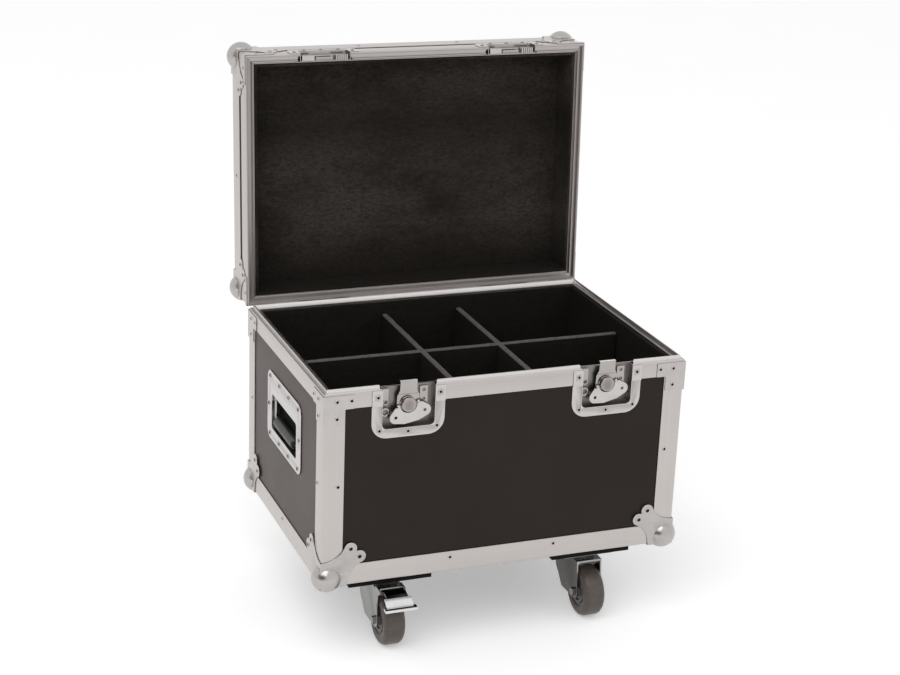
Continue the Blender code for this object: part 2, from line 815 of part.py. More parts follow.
# Base lining, a foam box with grooves for the dividers
outer = block(
    (-SIDE + LINING_OUT, FRONT + LINING_OUT, FLOOR_TOP + GAP),
    (SIDE - LINING_OUT, BACK - LINING_OUT, PARTING - INNER_DROP - GAP),
)
neck = block(
    (-SIDE + LINING_NECK, FRONT + LINING_NECK, FOAM_FLOOR),
    (SIDE - LINING_NECK, BACK - LINING_NECK, PARTING - LINING_TOP_DROP),
)
joined(outer, neck)
hollow = block(
    (-SIDE + LINING_INSET, FRONT + LINING_INSET, FOAM_FLOOR),
    (SIDE - LINING_INSET, BACK - LINING_INSET, LID_TOP),
)
groove_low = FOAM_FLOOR - DIVIDER_GROOVE
half_groove = DIVIDER_THICK / 2 + GAP
spill = GAP * 2
cross_groove = block(
    (-SIDE + LINING_INSET - spill, -half_groove, groove_low),
    (SIDE - LINING_INSET + spill, half_groove, FOAM_FLOOR + DIVIDER_GROOVE),
)
carved(outer, hollow, cross_groove)
for x in (-DIVIDER_X, DIVIDER_X):
    groove = block(
        (x - half_groove, FRONT + LINING_INSET - spill, groove_low),
        (x + half_groove, BACK - LINING_INSET + spill, FOAM_FLOOR + DIVIDER_GROOVE),
    )
    carved(outer, groove)
carved(outer, *at_latches(latch_cutter(pan_low, PARTING, PAN_DEPTH)), *handle_cutter(GAP))
named(outer, "base_lining", "foam", root)

# Dividers, halved into each other where they cross
divider_top = PARTING - DIVIDER_DROP
divider_low = groove_low + GAP
halving = (divider_top + divider_low) / 2
reach_x = SIDE - LINING_INSET - GAP
reach_y = BACK - LINING_INSET - GAP
half_divider = DIVIDER_THICK / 2
long_divider = block((-half_divider, -reach_y, divider_low), (half_divider, reach_y, divider_top))
slot = block(
    (-DIVIDER_THICK, -half_groove, divider_low - DIVIDER_GROOVE),
    (DIVIDER_THICK, half_groove, halving + GAP),
)
carved(long_divider, slot)
cross = block((-reach_x, -half_divider, divider_low), (reach_x, half_divider, divider_top))
for x in (-DIVIDER_X, DIVIDER_X):
    notch = block((x - half_groove, -DIVIDER_THICK, halving), (x + half_groove, DIVIDER_THICK, PARTING))
    carved(cross, notch)
second_divider = moved(copied(long_divider), Matrix.Translation((DIVIDER_X, 0, 0)))
moved(long_divider, Matrix.Translation((-DIVIDER_X, 0, 0)))
named(long_divider, "left_divider", "foam", root)
named(second_divider, "right_divider", "foam", root)
named(cross, "cross_divider", "foam", root)


def latch_dish():
    """The base half of a latch: a riveted flange, stepped down onto the panel, and the pan behind it."""
    half = LATCH_FLANGE_WIDTH / 2
    open_half = LATCH_OPEN_WIDTH / 2
    low = PARTING - LATCH_FLANGE_DROP
    step = PARTING - RIM_FLANGE - GAP
    metal = LATCH_FLANGE_METAL
    soft = LATCH_FLANGE_ROUND
    face = FRONT - GAP
    panel_face = FRONT + PANEL_OUT - GAP
    stepped = [
        (face - metal, PARTING - RIM_CHAMFER),
        (face - metal, step - metal),
        (panel_face - metal, step - metal),
        (panel_face - metal, low),
        (panel_face, low),
        (panel_face, step),
        (face, step),
        (face, PARTING - RIM_CHAMFER),
    ]
    dish = prism(stepped, -half, half, "x")
    shape = rounded(rectangle(-half, low, half, PARTING), (soft, soft, 0, 0))
    boolean(dish, prism(shape, FRONT - EDGE_FLANGE, FRONT + EDGE_FLANGE, "y"), "INTERSECT")
    wall = open_half + PAN_METAL
    shell = block(
        (-wall, face - metal / 2, PARTING - LATCH_OPEN_DROP - PAN_METAL),
        (wall, FRONT + PAN_DEPTH, PARTING - GAP),
    )
    joined(dish, shell)
    curve = LATCH_OPEN_ROUND
    opening = rectangle(-open_half, PARTING - LATCH_OPEN_DROP, open_half, PARTING + RIM_FLANGE)
    pan_back = FRONT + PAN_DEPTH - PAN_METAL
    mouth = prism(rounded(opening, (curve, curve, 0, 0)), FRONT - EDGE_FLANGE, pan_back, "y")
    carved(dish, mouth)
    inset = LATCH_RIVET_INSET
    high_row = PARTING - LATCH_RIVET_DROP
    heads = []
    for sx in (-1, 1):
        heads.append(rivet((sx * (half - inset), FRONT - GAP - metal, high_row), (0, -1, 0)))
        spread = half - soft / 2
        heads.append(rivet((sx * spread, FRONT + PANEL_OUT - GAP - metal, low + inset * 3 / 2), (0, -1, 0)))
    heads.append(rivet((0, FRONT + PANEL_OUT - GAP - metal, low + inset), (0, -1, 0)))
    pivot_y = FRONT + HOOK_PIVOT_DEPTH
    pivot_z = PARTING - HOOK_PIVOT_DROP
    lug_half = LUG_HALF_HEIGHT
    for sx in (-1, 1):
        inner = sx * (HOOK_BARREL_HALF + GAP)
        outer_x = sx * (HOOK_BARREL_HALF + GAP + LUG_METAL)
        lug = block(
            (min(inner, outer_x), pivot_y - lug_half, pivot_z - lug_half),
            (max(inner, outer_x), FRONT + PAN_DEPTH - PAN_METAL / 2, pivot_z + lug_half),
        )
        heads.append(lug)
    joined(dish, *heads)
    bore = rod(pivot_y, pivot_z, HOOK_STUB_RADIUS + GAP, -half, half, "x")
    return carved(dish, bore)


def keeper_dish():
    """The lid half of a latch: a riveted flange, a pan and the ledge that the hook holds down."""
    half = LATCH_FLANGE_WIDTH / 2
    open_half = LATCH_OPEN_WIDTH / 2
    metal = LATCH_FLANGE_METAL
    soft = KEEPER_FLANGE_ROUND
    top = PARTING + KEEPER_FLANGE_RISE
    plate = prism(
        rounded(rectangle(-half, PARTING + RIM_CHAMFER, half, top), (0, 0, soft, soft)),
        FRONT - GAP - metal,
        FRONT - GAP,
        "y",
    )
    wall = open_half + PAN_METAL
    shell_top = PARTING + KEEPER_PAN_RISE + PAN_METAL
    shell = block((-wall, FRONT - GAP - metal / 2, PARTING + GAP), (wall, FRONT + PAN_DEPTH, shell_top))
    dish = joined(plate, shell)
    curve = LATCH_OPEN_ROUND / 2
    opening = rectangle(-open_half, PARTING - RIM_FLANGE, open_half, PARTING + KEEPER_PAN_RISE)
    pan_back = FRONT + PAN_DEPTH - PAN_METAL
    mouth = prism(rounded(opening, (0, 0, curve, curve)), FRONT - EDGE_FLANGE, pan_back, "y")
    carved(dish, mouth)
    ledge_low = PARTING + KEEPER_LOW
    wide = KEEPER_HALF_WIDTH
    deep = FRONT + PAN_DEPTH - PAN_METAL / 2
    ledge = block((-wide, FRONT + KEEPER_LEDGE, ledge_low), (wide, deep, ledge_low + KEEPER_METAL))
    brow = prism(
        [
            (deep - KEEPER_METAL, ledge_low + KEEPER_METAL / 2),
            (deep, ledge_low + KEEPER_METAL / 2),
            (deep, ledge_low + KEEPER_METAL * 5),
        ],
        -wide,
        wide,
        "x",
    )
    heads = [ledge, brow]
    for x in (-half + LATCH_RIVET_INSET, half - LATCH_RIVET_INSET):
        heads.append(rivet((x, FRONT - GAP - metal, PARTING + LATCH_RIVET_DROP), (0, -1, 0)))
    for x in (-half / 2, 0, half / 2):
        height = top - (KEEPER_FLANGE_RISE - KEEPER_PAN_RISE) / 2
        heads.append(rivet((x, FRONT - GAP - metal, height), (0, -1, 0)))
    return joined(dish, *heads)


def latch_hook():
    """The hook plate in its latched place, hanging on a cross pin below the cam."""
    waist = HOOK_WAIST_WIDTH / 2
    top = HOOK_TOP_WIDTH / 2
    foot = HOOK_FOOT_WIDTH / 2
    pivot_z = PARTING - HOOK_PIVOT_DROP
    waist_z = PARTING - HOOK_WAIST_DROP
    top_z = PARTING + HOOK_TOP
    face = FRONT + HOOK_DEPTH
    outline = [
        (-foot, pivot_z),
        (foot, pivot_z),
        (waist, PARTING - CAM_DROP),
        (waist, waist_z),
        (top, waist_z + HOOK_WAIST_WIDTH / 4),
        (top, top_z),
        (-top, top_z),
        (-top, waist_z + HOOK_WAIST_WIDTH / 4),
        (-waist, waist_z),
        (-waist, PARTING - CAM_DROP),
    ]
    plate = prism(outline, face, face + HOOK_METAL, "y")
    hole = rod(0, PARTING - CAM_DROP, HOOK_HOLE_RADIUS, FRONT, FRONT + PAN_DEPTH, "y", 16)
    carved(plate, hole)
    lip = block(
        (-top, face, top_z - HOOK_METAL),
        (top, face + HOOK_METAL + HOOK_LIP, top_z),
    )
    pivot_y = FRONT + HOOK_PIVOT_DEPTH
    barrel = rod(pivot_y, pivot_z, HOOK_BARREL_RADIUS, -HOOK_BARREL_HALF, HOOK_BARREL_HALF, "x")
    stub_half = HOOK_BARREL_HALF + LUG_METAL + GAP
    stub = rod(pivot_y, pivot_z, HOOK_STUB_RADIUS, -stub_half, stub_half, "x")
    return joined(plate, lip, barrel, stub)


def latch_cam():
    """The turning disc, its stem with the round cam, and the cross pin that the wing folds on."""
    centre = (0, 0, PARTING - CAM_DROP)
    disc_back = FRONT - DISC_RISE
    plate_back = FRONT - GAP
    profile = [
        (0, disc_back),
        (DISC_RADIUS - DISC_CHAMFER, disc_back),
        (DISC_RADIUS, disc_back + DISC_CHAMFER),
        (DISC_RADIUS, plate_back),
        (STEM_RADIUS, plate_back),
        (STEM_RADIUS, FRONT + PAN_DEPTH - PAN_METAL - GAP),
        (0, FRONT + PAN_DEPTH - PAN_METAL - GAP),
    ]
    body = turned(profile, 16, "y", centre)
    offset_z = centre[2] - CAM_OFFSET
    lobe = rod(0, offset_z, CAM_RADIUS, FRONT + CAM_FRONT, FRONT + CAM_BACK, "y", 12)
    pin = rod(FRONT + CROSS_PIN_DEPTH, centre[2], CROSS_PIN_RADIUS, -CROSS_PIN_HALF, CROSS_PIN_HALF, "x")
    return joined(body, lobe, pin)


def arc(centre, radius, start, end, steps):
    """Points of an arc, with its angles in degrees."""
    points = []
    for i in range(steps + 1):
        angle = math.radians(start + (end - start) * i / steps)
        points.append((centre[0] + radius * math.cos(angle), centre[1] + radius * math.sin(angle)))
    return points


def latch_wing():
    """The folding butterfly wing, with the cam's centre as its origin and its lobes pointing down."""
    ear = WING_EAR_OUTER
    lobe = (WING_LOBE_X, -WING_LOBE_DROP)
    right = [(ear, WING_EAR_RISE)]
    right += arc(lobe, WING_LOBE_RADIUS, 50, -80, 5)
    right.append((WING_LOBE_X / 2, -WING_LOW_EDGE))
    left = [(-u, v) for u, v in reversed(right)]
    notch = arc((0, 0), WING_NOTCH_RADIUS, 200, 340, 9)
    inner = WING_EAR_INNER
    outline = right + left
    outline += [(-inner, WING_EAR_RISE)]
    outline += notch
    outline += [(inner, WING_EAR_RISE)]
    near = FRONT + WING_DEPTH
    plate = prism(outline, near, near + WING_METAL, "y")
    for sx in (-1, 1):
        carved(plate, rod(sx * WING_LOBE_X, -WING_LOBE_DROP, WING_HOLE_RADIUS, FRONT - EDGE_METAL, BACK, "y"))
        ends = sorted((sx * inner, sx * ear))
        barrel = rod(FRONT + CROSS_PIN_DEPTH, 0, EAR_RADIUS, *ends, "x")
        joined(plate, barrel)
    bore = rod(FRONT + CROSS_PIN_DEPTH, 0, CROSS_PIN_RADIUS + GAP, -WIDTH, WIDTH, "x")
    return carved(plate, bore)


for sx, side_name, wing_turn in ((-1, "left", LEFT_WING_TURN_DEG), (1, "right", RIGHT_WING_TURN_DEG)):
    x = sx * LATCH_X
    shift = Matrix.Translation((x, 0, 0))
    named(moved(latch_dish(), shift), side_name + "_latch_dish", "steel", root)
    named(moved(keeper_dish(), shift), side_name + "_keeper", "steel", hinge_line, LID_ORIGIN)
    pivot = (x, FRONT + HOOK_PIVOT_DEPTH, PARTING - HOOK_PIVOT_DROP)
    hook_line = holder(side_name + "_hook_line", root, pivot)
    hook_line.rotation_euler = (math.radians(HOOK_TILT_DEG), 0, 0)
    named(moved(latch_hook(), shift), side_name + "_latch_hook", "steel", hook_line, pivot)
    cam_centre = (x, FRONT, PARTING - CAM_DROP)
    cam_line = holder(side_name + "_cam_line", root, cam_centre)
    cam_line.rotation_euler = (0, -math.radians(wing_turn), 0)
    named(moved(latch_cam(), shift), side_name + "_latch_cam", "steel", cam_line, cam_centre)
    wing_line = holder(side_name + "_wing_line", cam_line, (0, CROSS_PIN_DEPTH, 0))
    named(latch_wing(), side_name + "_latch_wing", "steel", wing_line, (0, FRONT + CROSS_PIN_DEPTH, 0))


def handle_dish():
    """The pressed dish of the left handle, with its riveted flange and the two lugs of the bail."""
    half = HANDLE_FLANGE_WIDTH / 2
    open_half = HANDLE_OPEN_WIDTH / 2
    top = PARTING - HANDLE_FLANGE_TOP_DROP
    low = top - HANDLE_FLANGE_HEIGHT
    open_top = PARTING - HANDLE_OPEN_TOP_DROP
    open_low = open_top - HANDLE_OPEN_HEIGHT
    metal = HANDLE_PAN_METAL
    face = -SIDE + PANEL_OUT - GAP
    soft = HANDLE_FLANGE_ROUND
    flange = prism(
        rounded(rectangle(-half, low, half, top), (soft, soft, soft, soft)),
        face - HANDLE_FLANGE_METAL,
        face,
        "x",
    )
    shell = block(
        (face - HANDLE_FLANGE_METAL / 2, -open_half - metal, open_low - metal),
        (-SIDE + HANDLE_PAN_DEPTH, open_half + metal, open_top + metal),
    )
    dish = joined(flange, shell)
    curve = HANDLE_OPEN_ROUND
    inside = prism(
        rounded(rectangle(-open_half, open_low, open_half, open_top), (curve, curve, curve, curve)),
        -SIDE - EDGE_FLANGE,
        -SIDE + HANDLE_PAN_DEPTH - metal,
        "x",
    )
    carved(dish, inside)
    pivot_x = -SIDE + BAIL_PIVOT_DEPTH
    pivot_z = PARTING - BAIL_PIVOT_DROP
    lug_radius = HANDLE_LUG_RADIUS
    extras = []
    for sy in (-1, 1):
        inner = sy * (open_half - HANDLE_LUG_METAL)
        outer_y = sy * (open_half + metal / 2)
        lug = block(
            (pivot_x - lug_radius, min(inner, outer_y), pivot_z - lug_radius),
            (pivot_x + lug_radius, max(inner, outer_y), open_top + metal / 2),
        )
        extras.append(lug)
    inset = HANDLE_RIVET_INSET
    out = face - HANDLE_FLANGE_METAL
    for height in (low + inset, top - inset):
        for share in HANDLE_RIVET_SHARES:
            extras.append(rivet((out, half * share, height), (-1, 0, 0)))
    middle = (top + low) / 2
    for sy in (-1, 1):
        extras.append(rivet((out, sy * (half - inset), middle), (-1, 0, 0)))
    joined(dish, *extras)
    bore = rod(pivot_x, pivot_z, BAIL_ROD_RADIUS + GAP, -BAIL_STUB_HALF - GAP, BAIL_STUB_HALF + GAP, "y")
    return carved(dish, bore)


def handle_bail():
    """The bent rod of the left handle, hanging from its two stubs, with the pivot line as its origin."""
    bend = BAIL_BEND
    half = BAIL_HALF_WIDTH
    corners = [
        (-BAIL_STUB_HALF, 0),
        (-half, 0),
        (-half, -BAIL_ARM),
        (half, -BAIL_ARM),
        (half, 0),
        (BAIL_STUB_HALF, 0),
    ]
    small = bend / 2
    flat = rounded(corners, (0, small, bend, bend, small, 0), 3)
    return tube([Vector((0, u, v)) for u, v in flat], BAIL_ROD_RADIUS, 8)


def handle_grip():
    """The soft sleeve on the bail, with the pivot line as its origin."""
    bore = BAIL_ROD_RADIUS + GAP
    soft = GRIP_ROUND
    half = GRIP_HALF
    profile = [
        (bore, -half),
        (GRIP_RADIUS - soft, -half),
        (GRIP_RADIUS, -half + soft),
        (GRIP_RADIUS, half - soft),
        (GRIP_RADIUS - soft, half),
        (bore, half),
    ]
    return lathe(profile, 14, "y", (0, 0, -BAIL_ARM))


left_dish = handle_dish()
right_dish = mirrored(left_dish)
for sx, side_name, dish in ((-1, "left", left_dish), (1, "right", right_dish)):
    named(dish, side_name + "_handle_dish", "steel", root)
    bail_line = holder(
        side_name + "_bail_line",
        root,
        (sx * (SIDE - BAIL_PIVOT_DEPTH), 0, PARTING - BAIL_PIVOT_DROP),
    )
    named(handle_bail(), side_name + "_handle_bail", "steel", bail_line)
    named(handle_grip(), side_name + "_handle_grip", "rubber", bail_line)


def knuckle_edges():
    """Where the three knuckles of a hinge start and stop."""
    inner = HINGE_WIDTH * LID_KNUCKLE_SHARE / 2
    return inner, inner + GAP, HINGE_WIDTH / 2


def base_leaf():
    """The hinge leaf on the base, with its two outer knuckles and the pin."""
    inner, outer_start, half = knuckle_edges()
    near = BACK + GAP
    far = near + LEAF_METAL
    low = PARTING - BASE_LEAF_DROP
    plate = block((-half, near, low), (half, far, HINGE_Z))
    gap_cut = block(
        (-inner - GAP, BACK, HINGE_Z - KNUCKLE_RADIUS - GAP * 2),
        (inner + GAP, far + LEAF_METAL, PARTING),
    )
    carved(plate, gap_cut)
    parts = []
    for sx in (-1, 1):
        start, stop = sorted((sx * outer_start, sx * half))
        parts.append(rod(HINGE_Y, HINGE_Z, KNUCKLE_RADIUS, start, stop, "x"))
        web = block((start, near, HINGE_Z - KNUCKLE_RADIUS), (stop, HINGE_Y, HINGE_Z))
        parts.append(web)
        parts.append(rivet((sx * LEAF_RIVET_PITCH, far, PARTING - LEAF_RIVET_ROW), (0, 1, 0)))
    parts.append(rivet((0, far, PARTING - LEAF_RIVET_ROW), (0, 1, 0)))
    parts.append(rod(HINGE_Y, HINGE_Z, PIN_RADIUS, -half + GAP, half - GAP, "x"))
    return joined(plate, *parts)


def lid_leaf():
    """The hinge leaf on the lid in its closed place, with the middle knuckle and the two stop tabs."""
    inner, outer_start, half = knuckle_edges()
    near = BACK + GAP
    far = near + LEAF_METAL
    top = PARTING + LID_LEAF_RISE
    low = PARTING + GAP * 2
    plate = block((-half, near, low), (half, far, top))
    middle = block((-inner, near, HINGE_Z), (inner, far, top - LEAF_METAL))
    knuckle = rod(HINGE_Y, HINGE_Z, KNUCKLE_RADIUS, -inner, inner, "x")
    tab_points = [
        (STOP_BACK, HINGE_DROP / 2),
        (STOP_BACK + LEAF_METAL, HINGE_DROP / 2),
        (STOP_BACK + LEAF_METAL, LEAF_METAL - STOP_REACH),
        (-HINGE_BACK + LEAF_METAL + GAP * 2, LEAF_METAL - STOP_REACH),
        (-HINGE_BACK + LEAF_METAL + GAP * 2, -STOP_REACH),
        (STOP_BACK + LEAF_METAL * 2, -STOP_REACH),
        (STOP_BACK + LEAF_METAL * 2, HINGE_DROP),
        (STOP_BACK, HINGE_DROP),
    ]
    closed = []
    for u, v in tab_points:
        turned_u = u * math.cos(OPEN) - v * math.sin(OPEN)
        turned_v = u * math.sin(OPEN) + v * math.cos(OPEN)
        closed.append((HINGE_Y + turned_u, HINGE_Z + turned_v))
    parts = [middle, knuckle]
    for sx in (-1, 1):
        start, stop = sorted((sx * (outer_start + LEAF_METAL * 2), sx * (half - LEAF_METAL * 2)))
        parts.append(prism(closed, start, stop, "x"))
        parts.append(rivet((sx * LEAF_RIVET_PITCH, far, PARTING + LEAF_RIVET_ROW), (0, 1, 0)))
    parts.append(rivet((0, far, PARTING + LEAF_RIVET_ROW), (0, 1, 0)))
    joined(plate, *parts)
    bore = rod(HINGE_Y, HINGE_Z, PIN_BORE, -half, half, "x")
    return carved(plate, bore)


for sx, side_name in ((-1, "left"), (1, "right")):
    shift = Matrix.Translation((sx * HINGE_X, 0, 0))
    named(moved(base_leaf(), shift), side_name + "_hinge_base_leaf", "steel", root)
    named(moved(lid_leaf(), shift), side_name + "_hinge_lid_leaf", "steel", hinge_line, LID_ORIGIN)

# Lid panels
keeper_roof = PARTING + KEEPER_PAN_RISE + PAN_METAL
lid_wall_low = PARTING + LID_WEB + GAP
lid_wall_top = LID_TOP - PANEL_IN - GAP
walls = block(
    (-SIDE + PANEL_OUT, FRONT + PANEL_OUT, lid_wall_low),
    (SIDE - PANEL_OUT, BACK - PANEL_OUT, lid_wall_top),
)
carved(
    walls,
    block((-SIDE + PANEL_IN, FRONT + PANEL_IN, PARTING), (SIDE - PANEL_IN, BACK - PANEL_IN, LID_TOP)),
    *at_latches(latch_cutter(PARTING, keeper_roof, PAN_DEPTH)),
)
named(walls, "lid_walls", "laminate", hinge_line, LID_ORIGIN)
lid_panel = block(
    (-SIDE + PANEL_OUT, FRONT + PANEL_OUT, LID_TOP - PANEL_IN),
    (SIDE - PANEL_OUT, BACK - PANEL_OUT, LID_TOP - PANEL_OUT),
)
edge = LID_EDGE_FLANGE + GAP
field = block(
    (-SIDE + edge, FRONT + edge, LID_TOP - PANEL_IN + GAP),
    (SIDE - edge, BACK - edge, LID_TOP - PANEL_OUT + GAP),
)
named(joined(lid_panel, field), "lid_panel", "laminate", hinge_line, LID_ORIGIN)

# Lid edge angles and closing extrusion
lid_frame = edge_shell(PARTING + LID_RIM_FLANGE + GAP, LID_TOP, 1, LID_EDGE_FLANGE, LID_EDGE_FLANGE)
edge_rivets(LID_TOP - EDGE_RIVET_INSET, lid_frame, False)
named(lid_frame, "lid_edge_angles", "aluminium", hinge_line, LID_ORIGIN)
groove_in = TONGUE_INSET - GROOVE_CLEARANCE
groove_out = tongue_end + GROOVE_CLEARANCE
groove_deep = TONGUE_HEIGHT + GROOVE_SPARE
lid_rim_profile = [
    (0, LID_RIM_FLANGE),
    (0, RIM_CHAMFER),
    (RIM_CHAMFER, GAP),
    (groove_in, GAP),
    (groove_in, groove_deep),
    (groove_out, groove_deep),
    (groove_out, GAP),
    (LID_LIP_WIDTH, GAP),
    (LID_LIP_WIDTH, LID_LIP_STEP),
    (RIM_WIDTH, LID_LIP_STEP),
    (RIM_WIDTH, INNER_DROP),
    (inner_face, INNER_DROP),
    (inner_face, LID_WEB),
    (RIM_METAL, LID_WEB),
    (RIM_METAL, LID_RIM_FLANGE),
]
lid_rim = ring([(inset, PARTING + height) for inset, height in lid_rim_profile], SIDE, BACK)
carved(lid_rim, *at_latches(latch_cutter(PARTING - RIM_FLANGE, keeper_roof, inner_face - GAP)))
for sx in (-1, 1):
    for sy in (-1, 1):
        plate = brace(sx, sy, PARTING + LID_BRACE_RISE, PARTING + BRACE_TOP_DROP, PARTING + BRACE_TOP_DROP)
        joined(lid_rim, joined(plate, *brace_rivets(sx, sy, PARTING + LID_RIVET_ROW, 0)))
named(lid_rim, "lid_rim", "aluminium", hinge_line, LID_ORIGIN)
four_corners(ball_corner(LID_TOP, 1), "lid_corner", hinge_line, LID_ORIGIN)

# Lid lining
lid_lining = block(
    (-SIDE + LINING_OUT, FRONT + LINING_OUT, PARTING + INNER_DROP + GAP),
    (SIDE - LINING_OUT, BACK - LINING_OUT, LID_TOP - PANEL_IN - GAP),
)
lid_neck = block(
    (-SIDE + LINING_NECK, FRONT + LINING_NECK, PARTING + LINING_TOP_DROP),
    (SIDE - LINING_NECK, BACK - LINING_NECK, LID_FOAM_ROOF),
)
joined(lid_lining, lid_neck)
lid_hollow = block(
    (-SIDE + LINING_INSET, FRONT + LINING_INSET, PARTING),
    (SIDE - LINING_INSET, BACK - LINING_INSET, LID_FOAM_ROOF),
)
carved(lid_lining, lid_hollow, *at_latches(latch_cutter(PARTING, keeper_roof, PAN_DEPTH)))
named(lid_lining, "lid_lining", "foam", hinge_line, LID_ORIGIN)

# Castor boards
board_top = BASE_LOW + PANEL_OUT - GAP
board_low = CASTOR_HEIGHT + GAP
for sx, side_name in ((-1, "left"), (1, "right")):
    x = sx * CASTOR_X
    board = block(
        (x - BOARD_WIDTH / 2, FRONT + BOARD_END, board_low),
        (x + BOARD_WIDTH / 2, BACK - BOARD_END, board_top),
    )
    reach = LOBE_FAR + LOBE_RADIUS + GAP
    room_x = sorted((sx * SIDE, sx * (SIDE - reach)))
    for end in (FRONT, BACK):
        inward = math.copysign(reach, -end)
        room_y = sorted((end, end + inward))
        rebate = block(
            (room_x[0], room_y[0], BASE_LOW - PLATE_METAL - RIVET_RISE - GAP * 3),
            (room_x[1], room_y[1], BASE_LOW + EDGE_FLANGE),
        )
        carved(board, rebate)
    named(board, side_name + "_castor_board", "birch", root)


def castor_plate():
    """The fixed top plate of a castor with its race, kingpin and four bolt heads.

    The origin is the swivel line.
    """
    top = CASTOR_HEIGHT
    soft = PLATE_ROUND
    outline = rounded(
        rectangle(-PLATE_WIDTH / 2, -PLATE_LENGTH / 2, PLATE_WIDTH / 2, PLATE_LENGTH / 2),
        (soft, soft, soft, soft),
    )
    plate = prism(outline, top - PLATE_THICK, top, "z")
    pin_low = top - PLATE_THICK - CROWN_DROP - CROWN_METAL
    profile = [
        (0, top - PLATE_THICK / 2),
        (RACE_RADIUS, top - PLATE_THICK / 2),
        (RACE_RADIUS, top - PLATE_THICK - RACE_DROP),
        (KINGPIN_RADIUS, top - PLATE_THICK - RACE_DROP),
        (KINGPIN_RADIUS, pin_low - GAP),
        (KINGPIN_HEAD_RADIUS, pin_low - GAP),
        (KINGPIN_HEAD_RADIUS, pin_low - GAP - PLATE_THICK),
        (0, pin_low - GAP - PLATE_THICK),
    ]
    parts = [turned(profile, 16, "z", (0, 0, 0))]
    for sx in (-1, 1):
        for sy in (-1, 1):
            spot_x = sx * (PLATE_WIDTH / 2 - BOLT_INSET)
            spot_y = sy * (PLATE_LENGTH / 2 - BOLT_INSET)
            low = top - PLATE_THICK - BOLT_RISE
            parts.append(rod(spot_x, spot_y, BOLT_RADIUS, low, top - PLATE_THICK / 2, "z", 6))
    return joined(plate, *parts)


def castor_fork():
    """The swivelling fork with its crown, two legs, axle bolt and nut. The origin is the swivel line."""
    crown_top = CASTOR_HEIGHT - PLATE_THICK - CROWN_DROP + GAP * 2
    crown_low = crown_top - CROWN_METAL
    axle_y = -CASTOR_TRAIL
    inside = LEG_INSIDE
    outside = LEG_INSIDE + LEG_METAL
    collar_top = CASTOR_HEIGHT - PLATE_THICK - GAP
    crown = lathe(
        [
            (KINGPIN_RADIUS + GAP, crown_low),
            (CROWN_RADIUS, crown_low),
            (CROWN_RADIUS, collar_top),
            (RACE_RADIUS + GAP * 2, collar_top),
            (RACE_RADIUS + GAP * 2, crown_top),
            (KINGPIN_RADIUS + GAP, crown_top),
        ],
        16,
        "z",
        (0, 0, 0),
    )
    front_edge = axle_y - LEG_FOOT_RADIUS / 2
    roof = block((-outside, front_edge, crown_low), (outside, LEG_REAR, crown_low + CROWN_METAL))
    roof_hole = rod(0, 0, RACE_RADIUS + GAP, crown_low - CROWN_METAL, collar_top, "z", 16)
    carved(roof, roof_hole)
    leg_outline = [(LEG_REAR, crown_low + CROWN_METAL), (front_edge, crown_low + CROWN_METAL)]
    leg_outline += arc((axle_y, WHEEL_RADIUS), LEG_FOOT_RADIUS, 180, 280, 5)
    for back_share, height_share in reversed(LEG_REAR_SHARES):
        leg_outline.append((LEG_REAR * back_share, CASTOR_HEIGHT * height_share))
    parts = [roof]
    for low, high in ((-outside, -inside), (inside, outside)):
        parts.append(prism(leg_outline, low, high, "x"))
    nut = outside + AXLE_NUT_THICK
    parts.append(rod(axle_y, WHEEL_RADIUS, AXLE_RADIUS, -outside - GAP, outside + GAP, "x"))
    parts.append(rod(axle_y, WHEEL_RADIUS, AXLE_NUT_RADIUS, -nut, -outside + LEG_METAL / 2, "x", 6))
    parts.append(rod(axle_y, WHEEL_RADIUS, AXLE_NUT_RADIUS, outside - LEG_METAL / 2, nut, "x", 6))
    return joined(crown, *parts)


def castor_wheel():
    """A soft-tread wheel with its axle at the origin."""
    half = WHEEL_WIDTH / 2
    soft = TREAD_ROUND
    side_profile = [
        (WHEEL_BORE, HUB_HALF),
        (HUB_BOSS_RADIUS, half - HUB_RECESS),
        (HUB_RADIUS, half - HUB_RECESS),
        (WHEEL_RADIUS - soft, half),
        (WHEEL_RADIUS, half - soft),
    ]
    profile = side_profile + [(radius, -along) for radius, along in reversed(side_profile)]
    return lathe(profile, WHEEL_STEPS, "x", (0, 0, 0))


